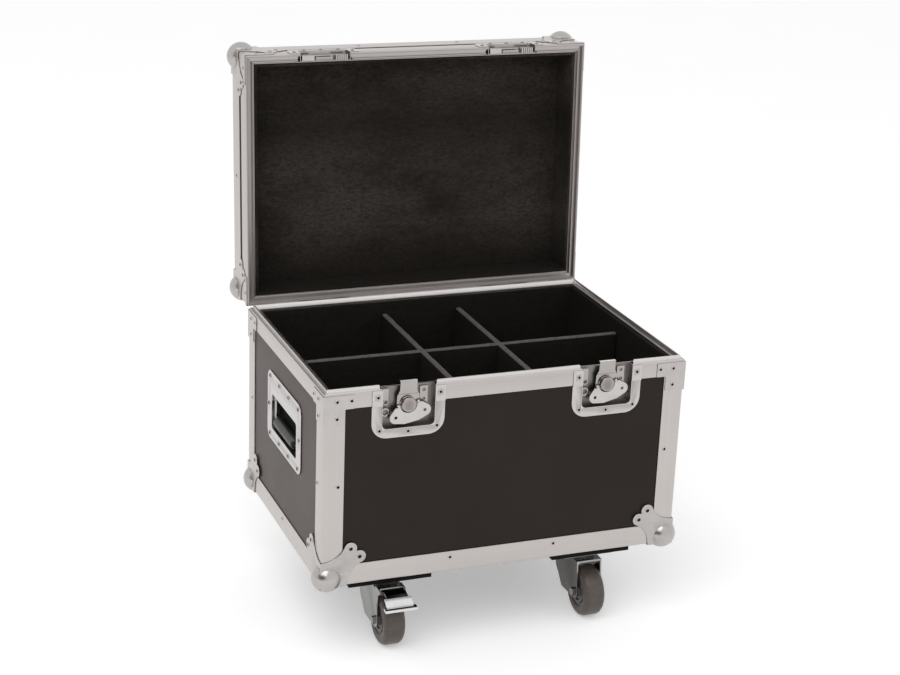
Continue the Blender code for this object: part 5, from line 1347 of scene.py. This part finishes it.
def latch_dish():
    """The base half of a latch: a riveted flange, stepped down onto the panel, and the pan behind it."""
    half = LATCH_FLANGE_WIDTH / 2
    low = PARTING - LATCH_FLANGE_DROP
    step = PARTING - RIM_FLANGE - GAP
    top = PARTING - RIM_CHAMFER
    metal = LATCH_FLANGE_METAL
    soft = LATCH_FLANGE_ROUND
    face = FRONT - GAP
    deep = FRONT + PANEL_OUT - GAP
    stepped = [(face - metal, top), (face - metal, step - metal), (deep - metal, step - metal)]
    stepped += [(deep - metal, low), (deep, low), (deep, step), (face, step), (face, top)]
    dish = prism(stepped, -half, half, "x")
    through = (FRONT - EDGE_FLANGE, FRONT + EDGE_FLANGE, "y")
    boolean(dish, sheet((-half, low, half, PARTING), (soft, soft, 0, 0), *through), "INTERSECT")
    opening = (PARTING - LATCH_OPEN_DROP, PARTING + RIM_FLANGE)
    with_pan(dish, PAN_LOW, PARTING - GAP, opening, (LATCH_OPEN_ROUND, LATCH_OPEN_ROUND, 0, 0))
    inset = LATCH_RIVET_INSET
    parts = []
    for sx in SIDES:
        parts.append(rivet((sx * (half - inset), face - metal, PARTING - LATCH_RIVET_DROP), FORWARD))
        parts.append(rivet((sx * (half - soft / 2), deep - metal, low + inset * 3 / 2), FORWARD))
    parts.append(rivet((0, deep - metal, low + inset), FORWARD))
    y, z = HOOK_PIVOT
    for sx in SIDES:
        ends = sorted((sx * (HOOK_BARREL_HALF + GAP), sx * (HOOK_BARREL_HALF + GAP + LUG_METAL)))
        low_corner = (ends[0], y - LUG_HALF_HEIGHT, z - LUG_HALF_HEIGHT)
        parts.append(block(low_corner, (ends[1], PAN_MIDDLE, z + LUG_HALF_HEIGHT)))
    return carved(joined(dish, *parts), rod(y, z, HOOK_STUB_RADIUS + GAP, -half, half, "x"))


def keeper_dish():
    """The lid half of a latch: a riveted flange, a pan and the ledge that the hook holds down."""
    half = LATCH_FLANGE_WIDTH / 2
    face = FRONT - GAP - LATCH_FLANGE_METAL
    soft = KEEPER_FLANGE_ROUND
    curve = LATCH_OPEN_ROUND / 2
    top = PARTING + KEEPER_FLANGE_RISE
    dish = sheet((-half, PARTING + RIM_CHAMFER, half, top), (0, 0, soft, soft), face, FRONT - GAP, "y")
    opening = (PARTING - RIM_FLANGE, PARTING + KEEPER_PAN_RISE)
    with_pan(dish, PARTING + GAP, KEEPER_ROOF, opening, (0, 0, curve, curve))
    low = PARTING + KEEPER_LOW
    wide = KEEPER_HALF_WIDTH
    metal = KEEPER_METAL
    brow_low = low + metal / 2
    brow = [(PAN_MIDDLE - metal, brow_low), (PAN_MIDDLE, brow_low), (PAN_MIDDLE, low + metal * 5)]
    parts = [
        block((-wide, FRONT + KEEPER_LEDGE, low), (wide, PAN_MIDDLE, low + metal)),
        prism(brow, -wide, wide, "x"),
    ]
    row = PARTING + LATCH_RIVET_DROP
    high_row = top - (KEEPER_FLANGE_RISE - KEEPER_PAN_RISE) / 2
    spots = [(sx * (half - LATCH_RIVET_INSET), row) for sx in SIDES]
    spots += [(x, high_row) for x in (-half / 2, 0, half / 2)]
    return joined(dish, *parts, *[rivet((x, face, height), FORWARD) for x, height in spots])


def latch_hook():
    """The hook plate in its latched place, hanging on a cross pin below the cam."""
    waist = HOOK_WAIST_WIDTH / 2
    top = HOOK_TOP_WIDTH / 2
    waist_z = PARTING - HOOK_WAIST_DROP
    shoulder_z = waist_z + HOOK_WAIST_WIDTH / 4
    top_z = PARTING + HOOK_TOP
    face = FRONT + HOOK_DEPTH
    y, z = HOOK_PIVOT
    right = [(HOOK_FOOT_WIDTH / 2, z), (waist, CAM_Z), (waist, waist_z)]
    right += [(top, shoulder_z), (top, top_z)]
    plate = prism(both_halves(right), face, face + HOOK_METAL, "y")
    carved(plate, rod(0, CAM_Z, HOOK_HOLE_RADIUS, FRONT, FRONT + PAN_DEPTH, "y", 40))
    lip = block((-top, face, top_z - HOOK_METAL), (top, face + HOOK_METAL + HOOK_LIP, top_z))
    barrel = rod(y, z, HOOK_BARREL_RADIUS, -HOOK_BARREL_HALF, HOOK_BARREL_HALF, "x")
    stub_half = HOOK_BARREL_HALF + LUG_METAL + GAP
    body = cleaned(joined(plate, lip, barrel, rod(y, z, HOOK_STUB_RADIUS, -stub_half, stub_half, "x")))
    thin = HOOK_METAL / 2
    crease_line = circle(face + thin * 0.3, PARTING - HOOK_WAIST_DROP * 0.8, thin, 16)
    crease = prism(crease_line, -waist * 0.92, waist * 0.92, "x")
    inner = HOOK_HOLE_RADIUS + thin * 0.6
    pressed = [(inner, 0), (inner + thin * 0.8, -thin * 0.8), (inner + thin * 2.2, -thin * 0.8)]
    pressed += [(inner + thin * 3.2, 0), (inner + thin, thin)]
    collar = lathe([(radius, face + along) for radius, along in pressed], 48, "y", (0, 0, CAM_Z))
    return merged(body, crease, collar)


def latch_cam():
    """The turning disc, its stem with the round cam, and the cross pin that the wing folds on."""
    disc_back = FRONT - DISC_RISE
    dimple = disc_back + DISC_CHAMFER / 2
    stem_end = PAN_FLOOR - GAP
    profile = [(0, dimple), (DISC_RADIUS * 0.62, dimple), (DISC_RADIUS * 0.68, disc_back)]
    profile += [(DISC_RADIUS - DISC_CHAMFER, disc_back), (DISC_RADIUS, disc_back + DISC_CHAMFER)]
    profile += [(DISC_RADIUS, FRONT - GAP), (STEM_RADIUS, FRONT - GAP)]
    profile += [(STEM_RADIUS, stem_end), (0, stem_end)]
    body = turned(profile, 56, "y", (0, 0, CAM_Z))
    lobe = rod(0, CAM_Z - CAM_OFFSET, CAM_RADIUS, FRONT + CAM_FRONT, FRONT + CAM_BACK, "y", 40)
    pin = rod(FRONT + CROSS_PIN_DEPTH, CAM_Z, CROSS_PIN_RADIUS, -CROSS_PIN_HALF, CROSS_PIN_HALF, "x")
    return joined(body, lobe, pin)


def latch_wing():
    """The folding butterfly wing, with the cam's centre as its origin and its lobes pointing down."""
    ear = WING_EAR_OUTER
    inner = WING_EAR_INNER
    right = [(ear, WING_EAR_RISE), *arc((WING_LOBE_X, -WING_LOBE_DROP), WING_LOBE_RADIUS, 50, -80, 20)]
    right.append((WING_LOBE_X / 2, -WING_LOW_EDGE))
    outline = right + [(-u, v) for u, v in reversed(right)] + [(-inner, WING_EAR_RISE)]
    outline += [*arc((0, 0), WING_NOTCH_RADIUS, 200, 340, 36), (inner, WING_EAR_RISE)]
    near = FRONT + WING_DEPTH
    pin_y = FRONT + CROSS_PIN_DEPTH
    plate = prism(outline, near, near + WING_METAL, "y")
    for sx in SIDES:
        hole = (sx * WING_LOBE_X, -WING_LOBE_DROP, WING_HOLE_RADIUS)
        carved(plate, rod(*hole, FRONT - EDGE_METAL, BACK, "y"))
        joined(plate, rod(pin_y, 0, EAR_RADIUS, *sorted((sx * inner, sx * ear)), "x"))
    return carved(plate, rod(pin_y, 0, CROSS_PIN_RADIUS + GAP, -WIDTH, WIDTH, "x"))


def fitting(outline, radii, depth, end=PAN_MIDDLE):
    """A small plate in a recess, its outline given from the parting line."""
    u0, v0, u1, v1 = outline
    return finished_with(sheet((u0, PARTING + v0, u1, PARTING + v1), radii, FRONT + depth, end, "y"), 3)


def recess_fittings():
    """What shows in a latch recess beside the hook: a strip, two ring bosses and a drilled bracket."""
    bracket = fitting(BRACKET, 0.002, BRACKET_DEPTH)
    for height in BRACKET_HOLE_HEIGHTS:
        hole = (BRACKET_HOLE_X, PARTING + height, BRACKET_HOLE_RADIUS, FRONT, FRONT + BRACKET_HOLE_DEPTH)
        carved(bracket, rod(*hole, "y", 24))
    made = [finished_with(bracket, 3), fitting(STRIP, 0.001, STRIP_DEPTH)]
    for rise, outer, bore in BOSSES:
        z = CAM_Z + rise
        step = BOSS_FACE + BOSS_ROUND
        profile = [(bore, BOSS_BACK), (outer, BOSS_BACK), (outer, step), (outer - BOSS_ROUND, BOSS_FACE)]
        profile += [(bore + BOSS_ROUND, BOSS_FACE), (bore, step)]
        boss = lathe([(radius, FRONT + along) for radius, along in profile], 40, "y", (BOSS_X, 0, z))
        made.append(finished_with(boss, 3))
        # The floor in each boss takes the pan's painted shade.
        floor = rod(BOSS_X, z, outer - BOSS_FLOOR_INSET, FRONT + BOSS_FLOOR_DEPTH, PAN_MIDDLE, "y", 40)
        made.append(finished_with(floor, 2))
    return made


def keeper_fittings():
    """What shows in a keeper: a rounded stop, a ribbed stop and a plate between them."""
    near = KEEPER_FITTING_DEPTH
    made = [fitting(ROUND_STOP, (0.0006, 0.0006, 0.0060, 0.0060), near)]
    made.append(fitting(KEEPER_BACK_PLATE, 0.0006, near + KEEPER_STEP))
    for i in range(6):
        x = RIB_START + i * RIB_PITCH
        rib = (x, STOP_LOW, x + RIB_WIDTH, STOP_LOW + RIB_HEIGHT)
        made.append(fitting(rib, (0.0005, 0.0005, 0.0011, 0.0011), near))
    return made


latches = (("left", -LATCH_X, LEFT_WING_TURN_DEG), ("right", LATCH_X, RIGHT_WING_TURN_DEG))
for side_name, x, wing_turn in latches:
    shift = shifted(x)
    tilt = turned_about((x, *HOOK_PIVOT), math.radians(HOOK_TILT_DEG), "X") @ shift
    turn = turned_about((x, FRONT, CAM_Z), -math.radians(wing_turn), "Y") @ shift
    dish = merged(latch_dish(), *recess_fittings())
    steel = (BRIGHT_PLATE, RIVET_HOLE_SHADE, PAN_SHADE_PLATE, MECHANISM_PLATE)
    settle(dish, side_name + "_latch_dish", "case", steel, shift, SOFT_LATCH, pan_side)
    keeper = merged(keeper_dish(), *keeper_fittings())
    steel = (BRIGHT_PLATE, RIVET_HOLE_SHADE, KEEPER_PAN_SHADE, BRIGHT_PLATE)
    settle(keeper, side_name + "_keeper", "lid", steel, LID_PLACE @ shift, SOFT_LATCH, pan_side)
    steel = (MECHANISM_PLATE, LIT_LIP_PLATE)
    settle(latch_hook(), side_name + "_latch_hook", side_name + "_hook", steel, tilt, grain=hook_part)
    settle(latch_cam(), side_name + "_latch_cam", side_name + "_cam", (CAM_PLATE,), turn)
    wing = moved(latch_wing(), shifted(z=CAM_Z))
    settle(wing, side_name + "_latch_wing", side_name + "_wing", (BRIGHT_PLATE,), turn)


# Side handles


def dish_side(middle):
    """0 on the flange, 2 in the pan of a handle, which is painted darker as shade."""
    return 2 if abs(middle.x) < SIDE - PANEL_OUT else 0


def handle_dish():
    """The pressed dish of the left handle, with its riveted flange and the two lugs of the bail."""
    half = HANDLE_FLANGE_WIDTH / 2
    open_half = HANDLE_OPEN_WIDTH / 2
    top = PARTING - HANDLE_FLANGE_TOP_DROP
    low = top - HANDLE_FLANGE_HEIGHT
    open_top = PARTING - HANDLE_OPEN_TOP_DROP
    open_low = open_top - HANDLE_OPEN_HEIGHT
    metal = HANDLE_PAN_METAL
    face = -SIDE + PANEL_OUT - GAP
    out = face - HANDLE_FLANGE_METAL
    dish = sheet((-half, low, half, top), HANDLE_FLANGE_ROUND, out, face, "x")
    pan_front = (face - HANDLE_FLANGE_METAL / 2, -open_half - metal, open_low - metal)
    joined(dish, block(pan_front, (-SIDE + HANDLE_PAN_DEPTH, open_half + metal, open_top + metal)))
    opening = (-open_half, open_low, open_half, open_top)
    pan_back = -SIDE + HANDLE_PAN_DEPTH - metal
    carved(dish, sheet(opening, HANDLE_OPEN_ROUND, -SIDE - EDGE_FLANGE, pan_back, "x"))
    x = -SIDE + BAIL_PIVOT_DEPTH
    z = PARTING - BAIL_PIVOT_DROP
    radius = HANDLE_LUG_RADIUS
    parts = []
    for sy in SIDES:
        ends = sorted((sy * (open_half - HANDLE_LUG_METAL), sy * (open_half + metal / 2)))
        parts.append(block((x - radius, ends[0], z - radius), (x + radius, ends[1], open_top + metal / 2)))
    inset = HANDLE_RIVET_INSET
    rows = (low + inset, top - inset)
    spots = [(half * share, height) for height in rows for share in HANDLE_RIVET_SHARES]
    spots += [(sy * (half - inset), (top + low) / 2) for sy in SIDES]
    joined(dish, *parts, *[rivet((out, y, height), (-1, 0, 0)) for y, height in spots])
    return carved(dish, rod(x, z, BAIL_ROD_RADIUS + GAP, -BAIL_STUB_HALF - GAP, BAIL_STUB_HALF + GAP, "y"))


def handle_bail():
    """The bent rod of the left handle, hanging from its two stubs, with the pivot line as its origin."""
    bend = BAIL_BEND
    right = [(BAIL_HALF_WIDTH, -BAIL_ARM), (BAIL_HALF_WIDTH, 0), (BAIL_STUB_HALF, 0)]
    corners = [(-u, v) for u, v in reversed(right)] + right
    flat = rounded(corners, (0, bend / 2, bend, bend, bend / 2, 0), 10)
    return tube([Vector((0, u, v)) for u, v in flat], BAIL_ROD_RADIUS)


def handle_grip():
    """The soft sleeve on the bail, with the pivot line as its origin."""
    edge = GRIP_HALF - GRIP_ROUND
    right = [(GRIP_RADIUS, edge), (GRIP_RADIUS - GRIP_ROUND, GRIP_HALF), (BAIL_ROD_RADIUS + GAP, GRIP_HALF)]
    profile = [(radius, -along) for radius, along in reversed(right)] + right
    return lathe(profile, 40, "y", (0, 0, -BAIL_ARM))


left_dish = handle_dish()
dishes = (("left", -1, left_dish), ("right", 1, copied(left_dish, -1)))
for side_name, sx, dish in dishes:
    steel = (BRIGHT_PLATE, RIVET_HOLE_SHADE, PAN_SHADE_PLATE)
    settle(dish, side_name + "_handle_dish", "case", steel, soften=SOFT_DISH, grain=dish_side)
    place = shifted(sx * (SIDE - BAIL_PIVOT_DEPTH), 0, PARTING - BAIL_PIVOT_DROP)
    body = side_name + "_handle"
    settle(handle_bail(), body + "_bail", body, (MECHANISM_PLATE,), place, 0)
    settle(handle_grip(), body + "_grip", body, (GRIP_RUBBER,), place, 0)


# Hinges

LEAF_NEAR = BACK + GAP
LEAF_FAR = LEAF_NEAR + LEAF_METAL
LEAF_HALF = HINGE_WIDTH / 2
KNUCKLE_INNER = HINGE_WIDTH * LID_KNUCKLE_SHARE / 2


def leaf_rivets(height):
    """The outer two and the middle rivet of a leaf."""
    return [rivet((x, LEAF_FAR, height), (0, 1, 0)) for x in (-LEAF_RIVET_PITCH, LEAF_RIVET_PITCH, 0)]


def base_leaf():
    """The hinge leaf on the base, with its two outer knuckles and the pin."""
    radius = KNUCKLE_RADIUS
    plate = block((-LEAF_HALF, LEAF_NEAR, PARTING - BASE_LEAF_DROP), (LEAF_HALF, LEAF_FAR, HINGE_Z))
    inner = KNUCKLE_INNER + GAP
    notch_low = HINGE_Z - radius - GAP * 2
    carved(plate, block((-inner, BACK, notch_low), (inner, LEAF_FAR + LEAF_METAL, PARTING)))
    left, right, middle = leaf_rivets(PARTING - LEAF_RIVET_ROW)
    parts = []
    for sx, head in ((-1, left), (1, right)):
        start, stop = sorted((sx * inner, sx * LEAF_HALF))
        parts.append(rod(HINGE_Y, HINGE_Z, radius, start, stop, "x"))
        parts.append(block((start, LEAF_NEAR, HINGE_Z - radius), (stop, HINGE_Y, HINGE_Z)))
        parts.append(head)
    pin = rod(HINGE_Y, HINGE_Z, PIN_RADIUS, -LEAF_HALF + GAP, LEAF_HALF - GAP, "x")
    return joined(plate, *parts, middle, pin)


def lid_leaf():
    """The hinge leaf on the lid in its closed place, with the middle knuckle and the two stop tabs."""
    inner = KNUCKLE_INNER
    metal = LEAF_METAL
    top = PARTING + LID_LEAF_RISE
    plate = block((-LEAF_HALF, LEAF_NEAR, PARTING + GAP * 2), (LEAF_HALF, LEAF_FAR, top))
    reach = STOP_BACK + metal
    toe = -HINGE_BACK + metal + GAP * 2
    tab = [(STOP_BACK, HINGE_DROP / 2), (reach, HINGE_DROP / 2), (reach, metal - STOP_REACH)]
    tab += [(toe, metal - STOP_REACH), (toe, -STOP_REACH), (reach + metal, -STOP_REACH)]
    tab += [(reach + metal, HINGE_DROP), (STOP_BACK, HINGE_DROP)]
    closed = []
    for u, v in tab:
        across = HINGE_Y + u * math.cos(OPEN) - v * math.sin(OPEN)
        closed.append((across, HINGE_Z + u * math.sin(OPEN) + v * math.cos(OPEN)))
    left, right, middle = leaf_rivets(PARTING + LEAF_RIVET_ROW)
    parts = [block((-inner, LEAF_NEAR, HINGE_Z), (inner, LEAF_FAR, top - metal))]
    parts.append(rod(HINGE_Y, HINGE_Z, KNUCKLE_RADIUS, -inner, inner, "x"))
    for sx, head in ((-1, left), (1, right)):
        ends = sorted((sx * (inner + GAP + metal * 2), sx * (LEAF_HALF - metal * 2)))
        parts += [prism(closed, *ends, "x"), head]
    joined(plate, *parts, middle)
    return carved(plate, rod(HINGE_Y, HINGE_Z, PIN_BORE, -LEAF_HALF, LEAF_HALF, "x"))


for side_name, x in (("left", -HINGE_X), ("right", HINGE_X)):
    plates = (BRIGHT_PLATE, RIVET_HOLE_SHADE)
    settle(base_leaf(), side_name + "_hinge_base_leaf", "case", plates, shifted(x))
    settle(lid_leaf(), side_name + "_hinge_lid_leaf", "lid", plates, LID_PLACE @ shifted(x))


# Castors, with the swivel line as their origin

PLATE_LOW = CASTOR_HEIGHT - PLATE_THICK
CROWN_TOP = PLATE_LOW - CROWN_DROP + GAP * 2
CROWN_LOW = CROWN_TOP - CROWN_METAL
LEG_OUTSIDE = LEG_INSIDE + LEG_METAL
LEGS = ((-LEG_OUTSIDE, -LEG_INSIDE), (LEG_INSIDE, LEG_OUTSIDE))
PEDAL_Y = -CASTOR_TRAIL - PEDAL_PIVOT_FORWARD
PEDAL_Z = CASTOR_HEIGHT - PEDAL_PIVOT_DROP
HUB_RING = ((0.0146, -0.0006), (0.0154, 0.0012), (0.0196, 0.0014), (0.0206, -0.0006))
HUB_BOSS_SLOPE = 0.0010
HUB_SEAM = 0.0004
SHOULDER_PARTS = 10
CHEEK_STEP = 0.0012
CHEEK_EDGE = (0.0290, 0.0004)
SHOULDER_START = 0.0310


def castor_plate():
    """The fixed top plate of a castor with its race, kingpin and four bolt heads."""
    x, y = PLATE_WIDTH / 2, PLATE_LENGTH / 2
    plate = sheet((-x, -y, x, y), PLATE_ROUND, PLATE_LOW, CASTOR_HEIGHT, "z")
    root = CASTOR_HEIGHT - PLATE_THICK / 2
    pin_low = PLATE_LOW - CROWN_DROP - CROWN_METAL - GAP
    race_low = PLATE_LOW - RACE_DROP
    profile = [(0, root), (RACE_RADIUS, root), (RACE_RADIUS, race_low), (KINGPIN_RADIUS, race_low)]
    profile += [(KINGPIN_RADIUS, pin_low), (KINGPIN_HEAD_RADIUS, pin_low)]
    profile += [(KINGPIN_HEAD_RADIUS, pin_low - PLATE_THICK), (0, pin_low - PLATE_THICK)]
    bolts = []
    for sx, sy in CORNERS:
        spot = (sx * (x - BOLT_INSET), sy * (y - BOLT_INSET))
        bolts.append(rod(*spot, BOLT_RADIUS, PLATE_LOW - BOLT_RISE, root, "z", 6))
    return joined(plate, turned(profile, 48, "z"), *bolts)


def castor_fork():
    """The swivelling fork with its crown, two legs, axle bolt and nut."""
    top = CROWN_LOW + CROWN_METAL
    collar_top = PLATE_LOW - GAP
    pin_bore = KINGPIN_RADIUS + GAP
    race_bore = RACE_RADIUS + GAP * 2
    profile = [(pin_bore, CROWN_LOW), (CROWN_RADIUS, CROWN_LOW), (CROWN_RADIUS, collar_top)]
    profile += [(race_bore, collar_top), (race_bore, CROWN_TOP), (pin_bore, CROWN_TOP)]
    front_edge = -CASTOR_TRAIL - LEG_FOOT_RADIUS / 2
    roof = block((-LEG_OUTSIDE, front_edge, CROWN_LOW), (LEG_OUTSIDE, LEG_REAR, top))
    carved(roof, rod(0, 0, RACE_RADIUS + GAP, CROWN_LOW - CROWN_METAL, collar_top, "z", 48))
    outline = [(LEG_REAR, top), (front_edge, top)]
    outline += arc((-CASTOR_TRAIL, WHEEL_RADIUS), LEG_FOOT_RADIUS, 180, 280, 18)
    for back_share, height_share in reversed(LEG_REAR_SHARES):
        outline.append((LEG_REAR * back_share, CASTOR_HEIGHT * height_share))
    parts = [roof, *[prism(outline, *leg, "x") for leg in LEGS]]
    nut = LEG_OUTSIDE + AXLE_NUT_THICK
    bury = LEG_OUTSIDE - LEG_METAL / 2
    bolt = (-LEG_OUTSIDE - GAP, LEG_OUTSIDE + GAP)
    for radius, ends, steps in (
        (AXLE_RADIUS, bolt, TUBE_STEPS),
        (AXLE_NUT_RADIUS, (-nut, -bury), 6),
        (AXLE_NUT_RADIUS, (bury, nut), 6),
    ):
        parts.append(rod(-CASTOR_TRAIL, WHEEL_RADIUS, radius, *ends, "x", steps))
    return joined(lathe(profile, 48, "z"), *parts)


def braced_fork():
    """The fork of a castor with a brake, which also carries the pedal's pin."""
    radius = PEDAL_SLEEVE_RADIUS
    outline = [(-CASTOR_TRAIL, PEDAL_Z - radius * 2), (PEDAL_Y, PEDAL_Z - radius)]
    outline += [(PEDAL_Y - radius, PEDAL_Z), (PEDAL_Y, PEDAL_Z + radius), (-CASTOR_TRAIL, PEDAL_Z + radius)]
    ears = [prism(outline, *leg, "x") for leg in LEGS]
    pin = rod(PEDAL_Y, PEDAL_Z, PEDAL_PIN_RADIUS, -LEG_OUTSIDE, LEG_OUTSIDE, "x")
    return joined(castor_fork(), *ears, pin)


def castor_wheel():
    """A soft-tread wheel with a ringed hub and rounded shoulders, its axle at the origin."""
    half = WHEEL_WIDTH / 2
    recess = half - HUB_RECESS
    side = [(WHEEL_BORE, HUB_HALF), (HUB_BOSS_RADIUS - HUB_BOSS_SLOPE, HUB_HALF)]
    side.append((HUB_BOSS_RADIUS, recess))
    side += [(radius, recess + rise) for radius, rise in HUB_RING]
    side += [(HUB_RADIUS, recess), (HUB_RADIUS + CHEEK_STEP, half - CHEEK_STEP)]
    side.append((CHEEK_EDGE[0], half - CHEEK_EDGE[1]))
    shoulder = WHEEL_RADIUS - SHOULDER_START
    for step in range(SHOULDER_PARTS + 1):
        angle = math.pi / 2 * step / SHOULDER_PARTS
        side.append((SHOULDER_START + shoulder * math.sin(angle), half - shoulder * (1 - math.cos(angle))))
    return lathe(side + [(radius, -along) for radius, along in reversed(side)], WHEEL_STEPS, "x")


def brake_pedal():
    """The brake pedal: a dark slab from its sleeve to a ridge, a bright step and a wider rounded lip."""
    metal = PEDAL_METAL
    brow = -PEDAL_BROW
    reach = -PEDAL_REACH
    top = PEDAL_SLEEVE_RADIUS
    toe = top - PEDAL_SLOPE
    ridge = top + PEDAL_BROW_RISE - PEDAL_SLOPE / 2
    slab = [(0, top - metal), (0, top), (brow * 0.55, top + PEDAL_BROW_RISE * 0.35), (brow, ridge)]
    slab += [(reach, toe), (reach, toe - metal), (brow, ridge - metal)]
    sleeve = rod(0, 0, PEDAL_SLEEVE_RADIUS, -PEDAL_HALF, PEDAL_HALF, "x", 32)
    bore = rod(0, 0, PEDAL_PIN_RADIUS + GAP, -PEDAL_LIP_HALF, PEDAL_LIP_HALF, "x", 24)
    arm = joined(prism(slab, -PEDAL_HALF, PEDAL_HALF, "x"), sleeve)
    dark = finished_with(cleaned(carved(arm, bore)), 1)
    step = [
        (brow - metal * 0.4, ridge + metal * 0.35),
        (reach - metal * 0.6, toe + metal * 0.3),
        (reach - metal * 0.8, toe - metal * 1.4),
        (brow - metal * 0.4, ridge - metal * 1.2),
    ]
    end = reach - PEDAL_LIP
    low = toe - PEDAL_LIP_DROP
    lip = [(reach + metal * 0.5, toe - metal * 0.5), (end, low), (end, low - metal * 2.1)]
    lip.append((reach + metal * 0.5, toe - metal * 2.6))
    bars = []
    for outline, half in ((step, PEDAL_TONGUE_HALF), (lip, PEDAL_LIP_HALF)):
        bars.append(prism(rounded(outline, metal * 0.5, 5), -half, half, "x"))
    return merged(*bars, dark)


def leg_side(middle):
    """1 on the broad sides of a fork's legs, 0 on their edges and on the crown; without a brake, the sides
    are painted darker as shade.
    """
    return 1 if LEG_METAL * 0.4 < abs(abs(middle.x) - LEG_INSIDE - LEG_METAL / 2) < LEG_METAL else 0


def tread_or_hub(middle):
    """0 on the tread and cheeks of a wheel, 1 on its hub."""
    return 1 if math.hypot(middle.y, middle.z) < HUB_RADIUS + HUB_SEAM else 0


for sy, sx in CORNERS:
    spot = ("front" if sy < 0 else "rear") + ("_left" if sx < 0 else "_right")
    braked = sx == sy
    place = shifted(sx * CASTOR_X, sy * CASTOR_Y)
    settle(castor_plate(), spot + "_castor_plate", "case", (CASTOR_ZINC,), place)
    fork = braced_fork() if braked else castor_fork()
    zinc = (CASTOR_ZINC, CASTOR_ZINC if braked else LEG_SHADE_ZINC)
    settle(fork, spot + "_castor_fork", spot + "_fork", zinc, place, SOFT_FORK, leg_side)
    axle = place @ shifted(0, -CASTOR_TRAIL, WHEEL_RADIUS)
    wheel = spot + "_wheel"
    settle(castor_wheel(), wheel, wheel, (TYRE_RUBBER, HUB_PLASTIC), axle, 0, tread_or_hub)
    if braked:
        chrome = (PEDAL_CHROME, PEDAL_SHADE)
        pivot = place @ shifted(0, PEDAL_Y, PEDAL_Z)
        settle(brake_pedal(), spot + "_brake_pedal", spot + "_pedal", chrome, pivot)


# Panels and boards that keep their form and get their finish

panels = ("front_panel", "back_panel", "left_panel", "right_panel", "lid_panel", "lid_walls")
boards = ("floor_panel", "left_castor_board", "right_castor_board")
for nodes, finish in ((panels, LAMINATE), (boards, BOARD_STAIN)):
    for node in nodes:
        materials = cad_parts[node].data.materials
        materials.clear()
        materials.append(finish.material)


# Floor, light and camera

FLOOR_REACH = 60.0
LAMP_PLACE = (-1.8, -2.0, 3.6)
LAMP_AIM = (0, 0, 0.4)
LAMP_WIDTH = 3.4
LAMP_POWER = 62
FALLING_LIGHT = 0.66
DIM_CORNER = Vector((-0.73, -0.57, 0.37)).normalized()
DIM_TONE = 0.18
DIM_RANGE = (0.80, 0.94)


def lay_floor():
    mesh = bpy.data.meshes.new("studio_floor")
    corners = rectangle(-FLOOR_REACH, -FLOOR_REACH, FLOOR_REACH, FLOOR_REACH)
    mesh.from_pydata([(x, y, 0) for x, y in corners], [], [(0, 1, 2, 3)])
    mesh.materials.append(plain_pale_floor().material)
    linked("studio_floor", mesh)


def soft_lamp(name, place, aim, width, power):
    """A large soft square lamp that points at a place on the case."""
    lamp = bpy.data.lights.new(name, "AREA")
    lamp.shape = "RECTANGLE"
    lamp.size = width
    lamp.size_y = width
    lamp.energy = power
    holder = linked(name, lamp)
    holder.location = place
    holder.rotation_euler = (Vector(aim) - Vector(place)).to_track_quat("-Z", "Y").to_euler()


def light_studio():
    """Even light from all round: white where seen, softer where it falls, dim in one mirrored corner."""
    world = bpy.data.worlds.new("studio")
    bpy.context.scene.world = world
    world.use_nodes = True
    tree = world.node_tree
    tree.nodes.clear()

    def add(kind, *links, **fixed):
        node = tree.nodes.new("ShaderNode" + kind)
        for socket, source in zip(node.inputs, links):
            if isinstance(source, bpy.types.NodeSocket):
                tree.links.new(source, socket)
            elif source is not None:
                socket.default_value = source
        for name, value in fixed.items():
            setattr(node, name, value)
        return node

    direction = add("TexCoord").outputs["Generated"]
    corner = add("VectorMath", direction, DIM_CORNER, operation="DOT_PRODUCT").outputs["Value"]
    dimmed = add("MapRange", corner, *DIM_RANGE, 1.0, DIM_TONE).outputs[0]
    falling, mirrored, seen = (
        add("Background", (1, 1, 1, 1), strength).outputs[0] for strength in (FALLING_LIGHT, dimmed, 1.0)
    )
    path = add("LightPath")
    light = falling
    for ray, background in (("Glossy", mirrored), ("Transmission", seen), ("Camera", seen)):
        light = add("MixShader", path.outputs[f"Is {ray} Ray"], light, background).outputs[0]
    add("OutputWorld", light)


lay_floor()
light_studio()
soft_lamp("key", LAMP_PLACE, LAMP_AIM, LAMP_WIDTH, LAMP_POWER)
set_camera()
bpy.context.scene.view_settings.view_transform = "Standard"
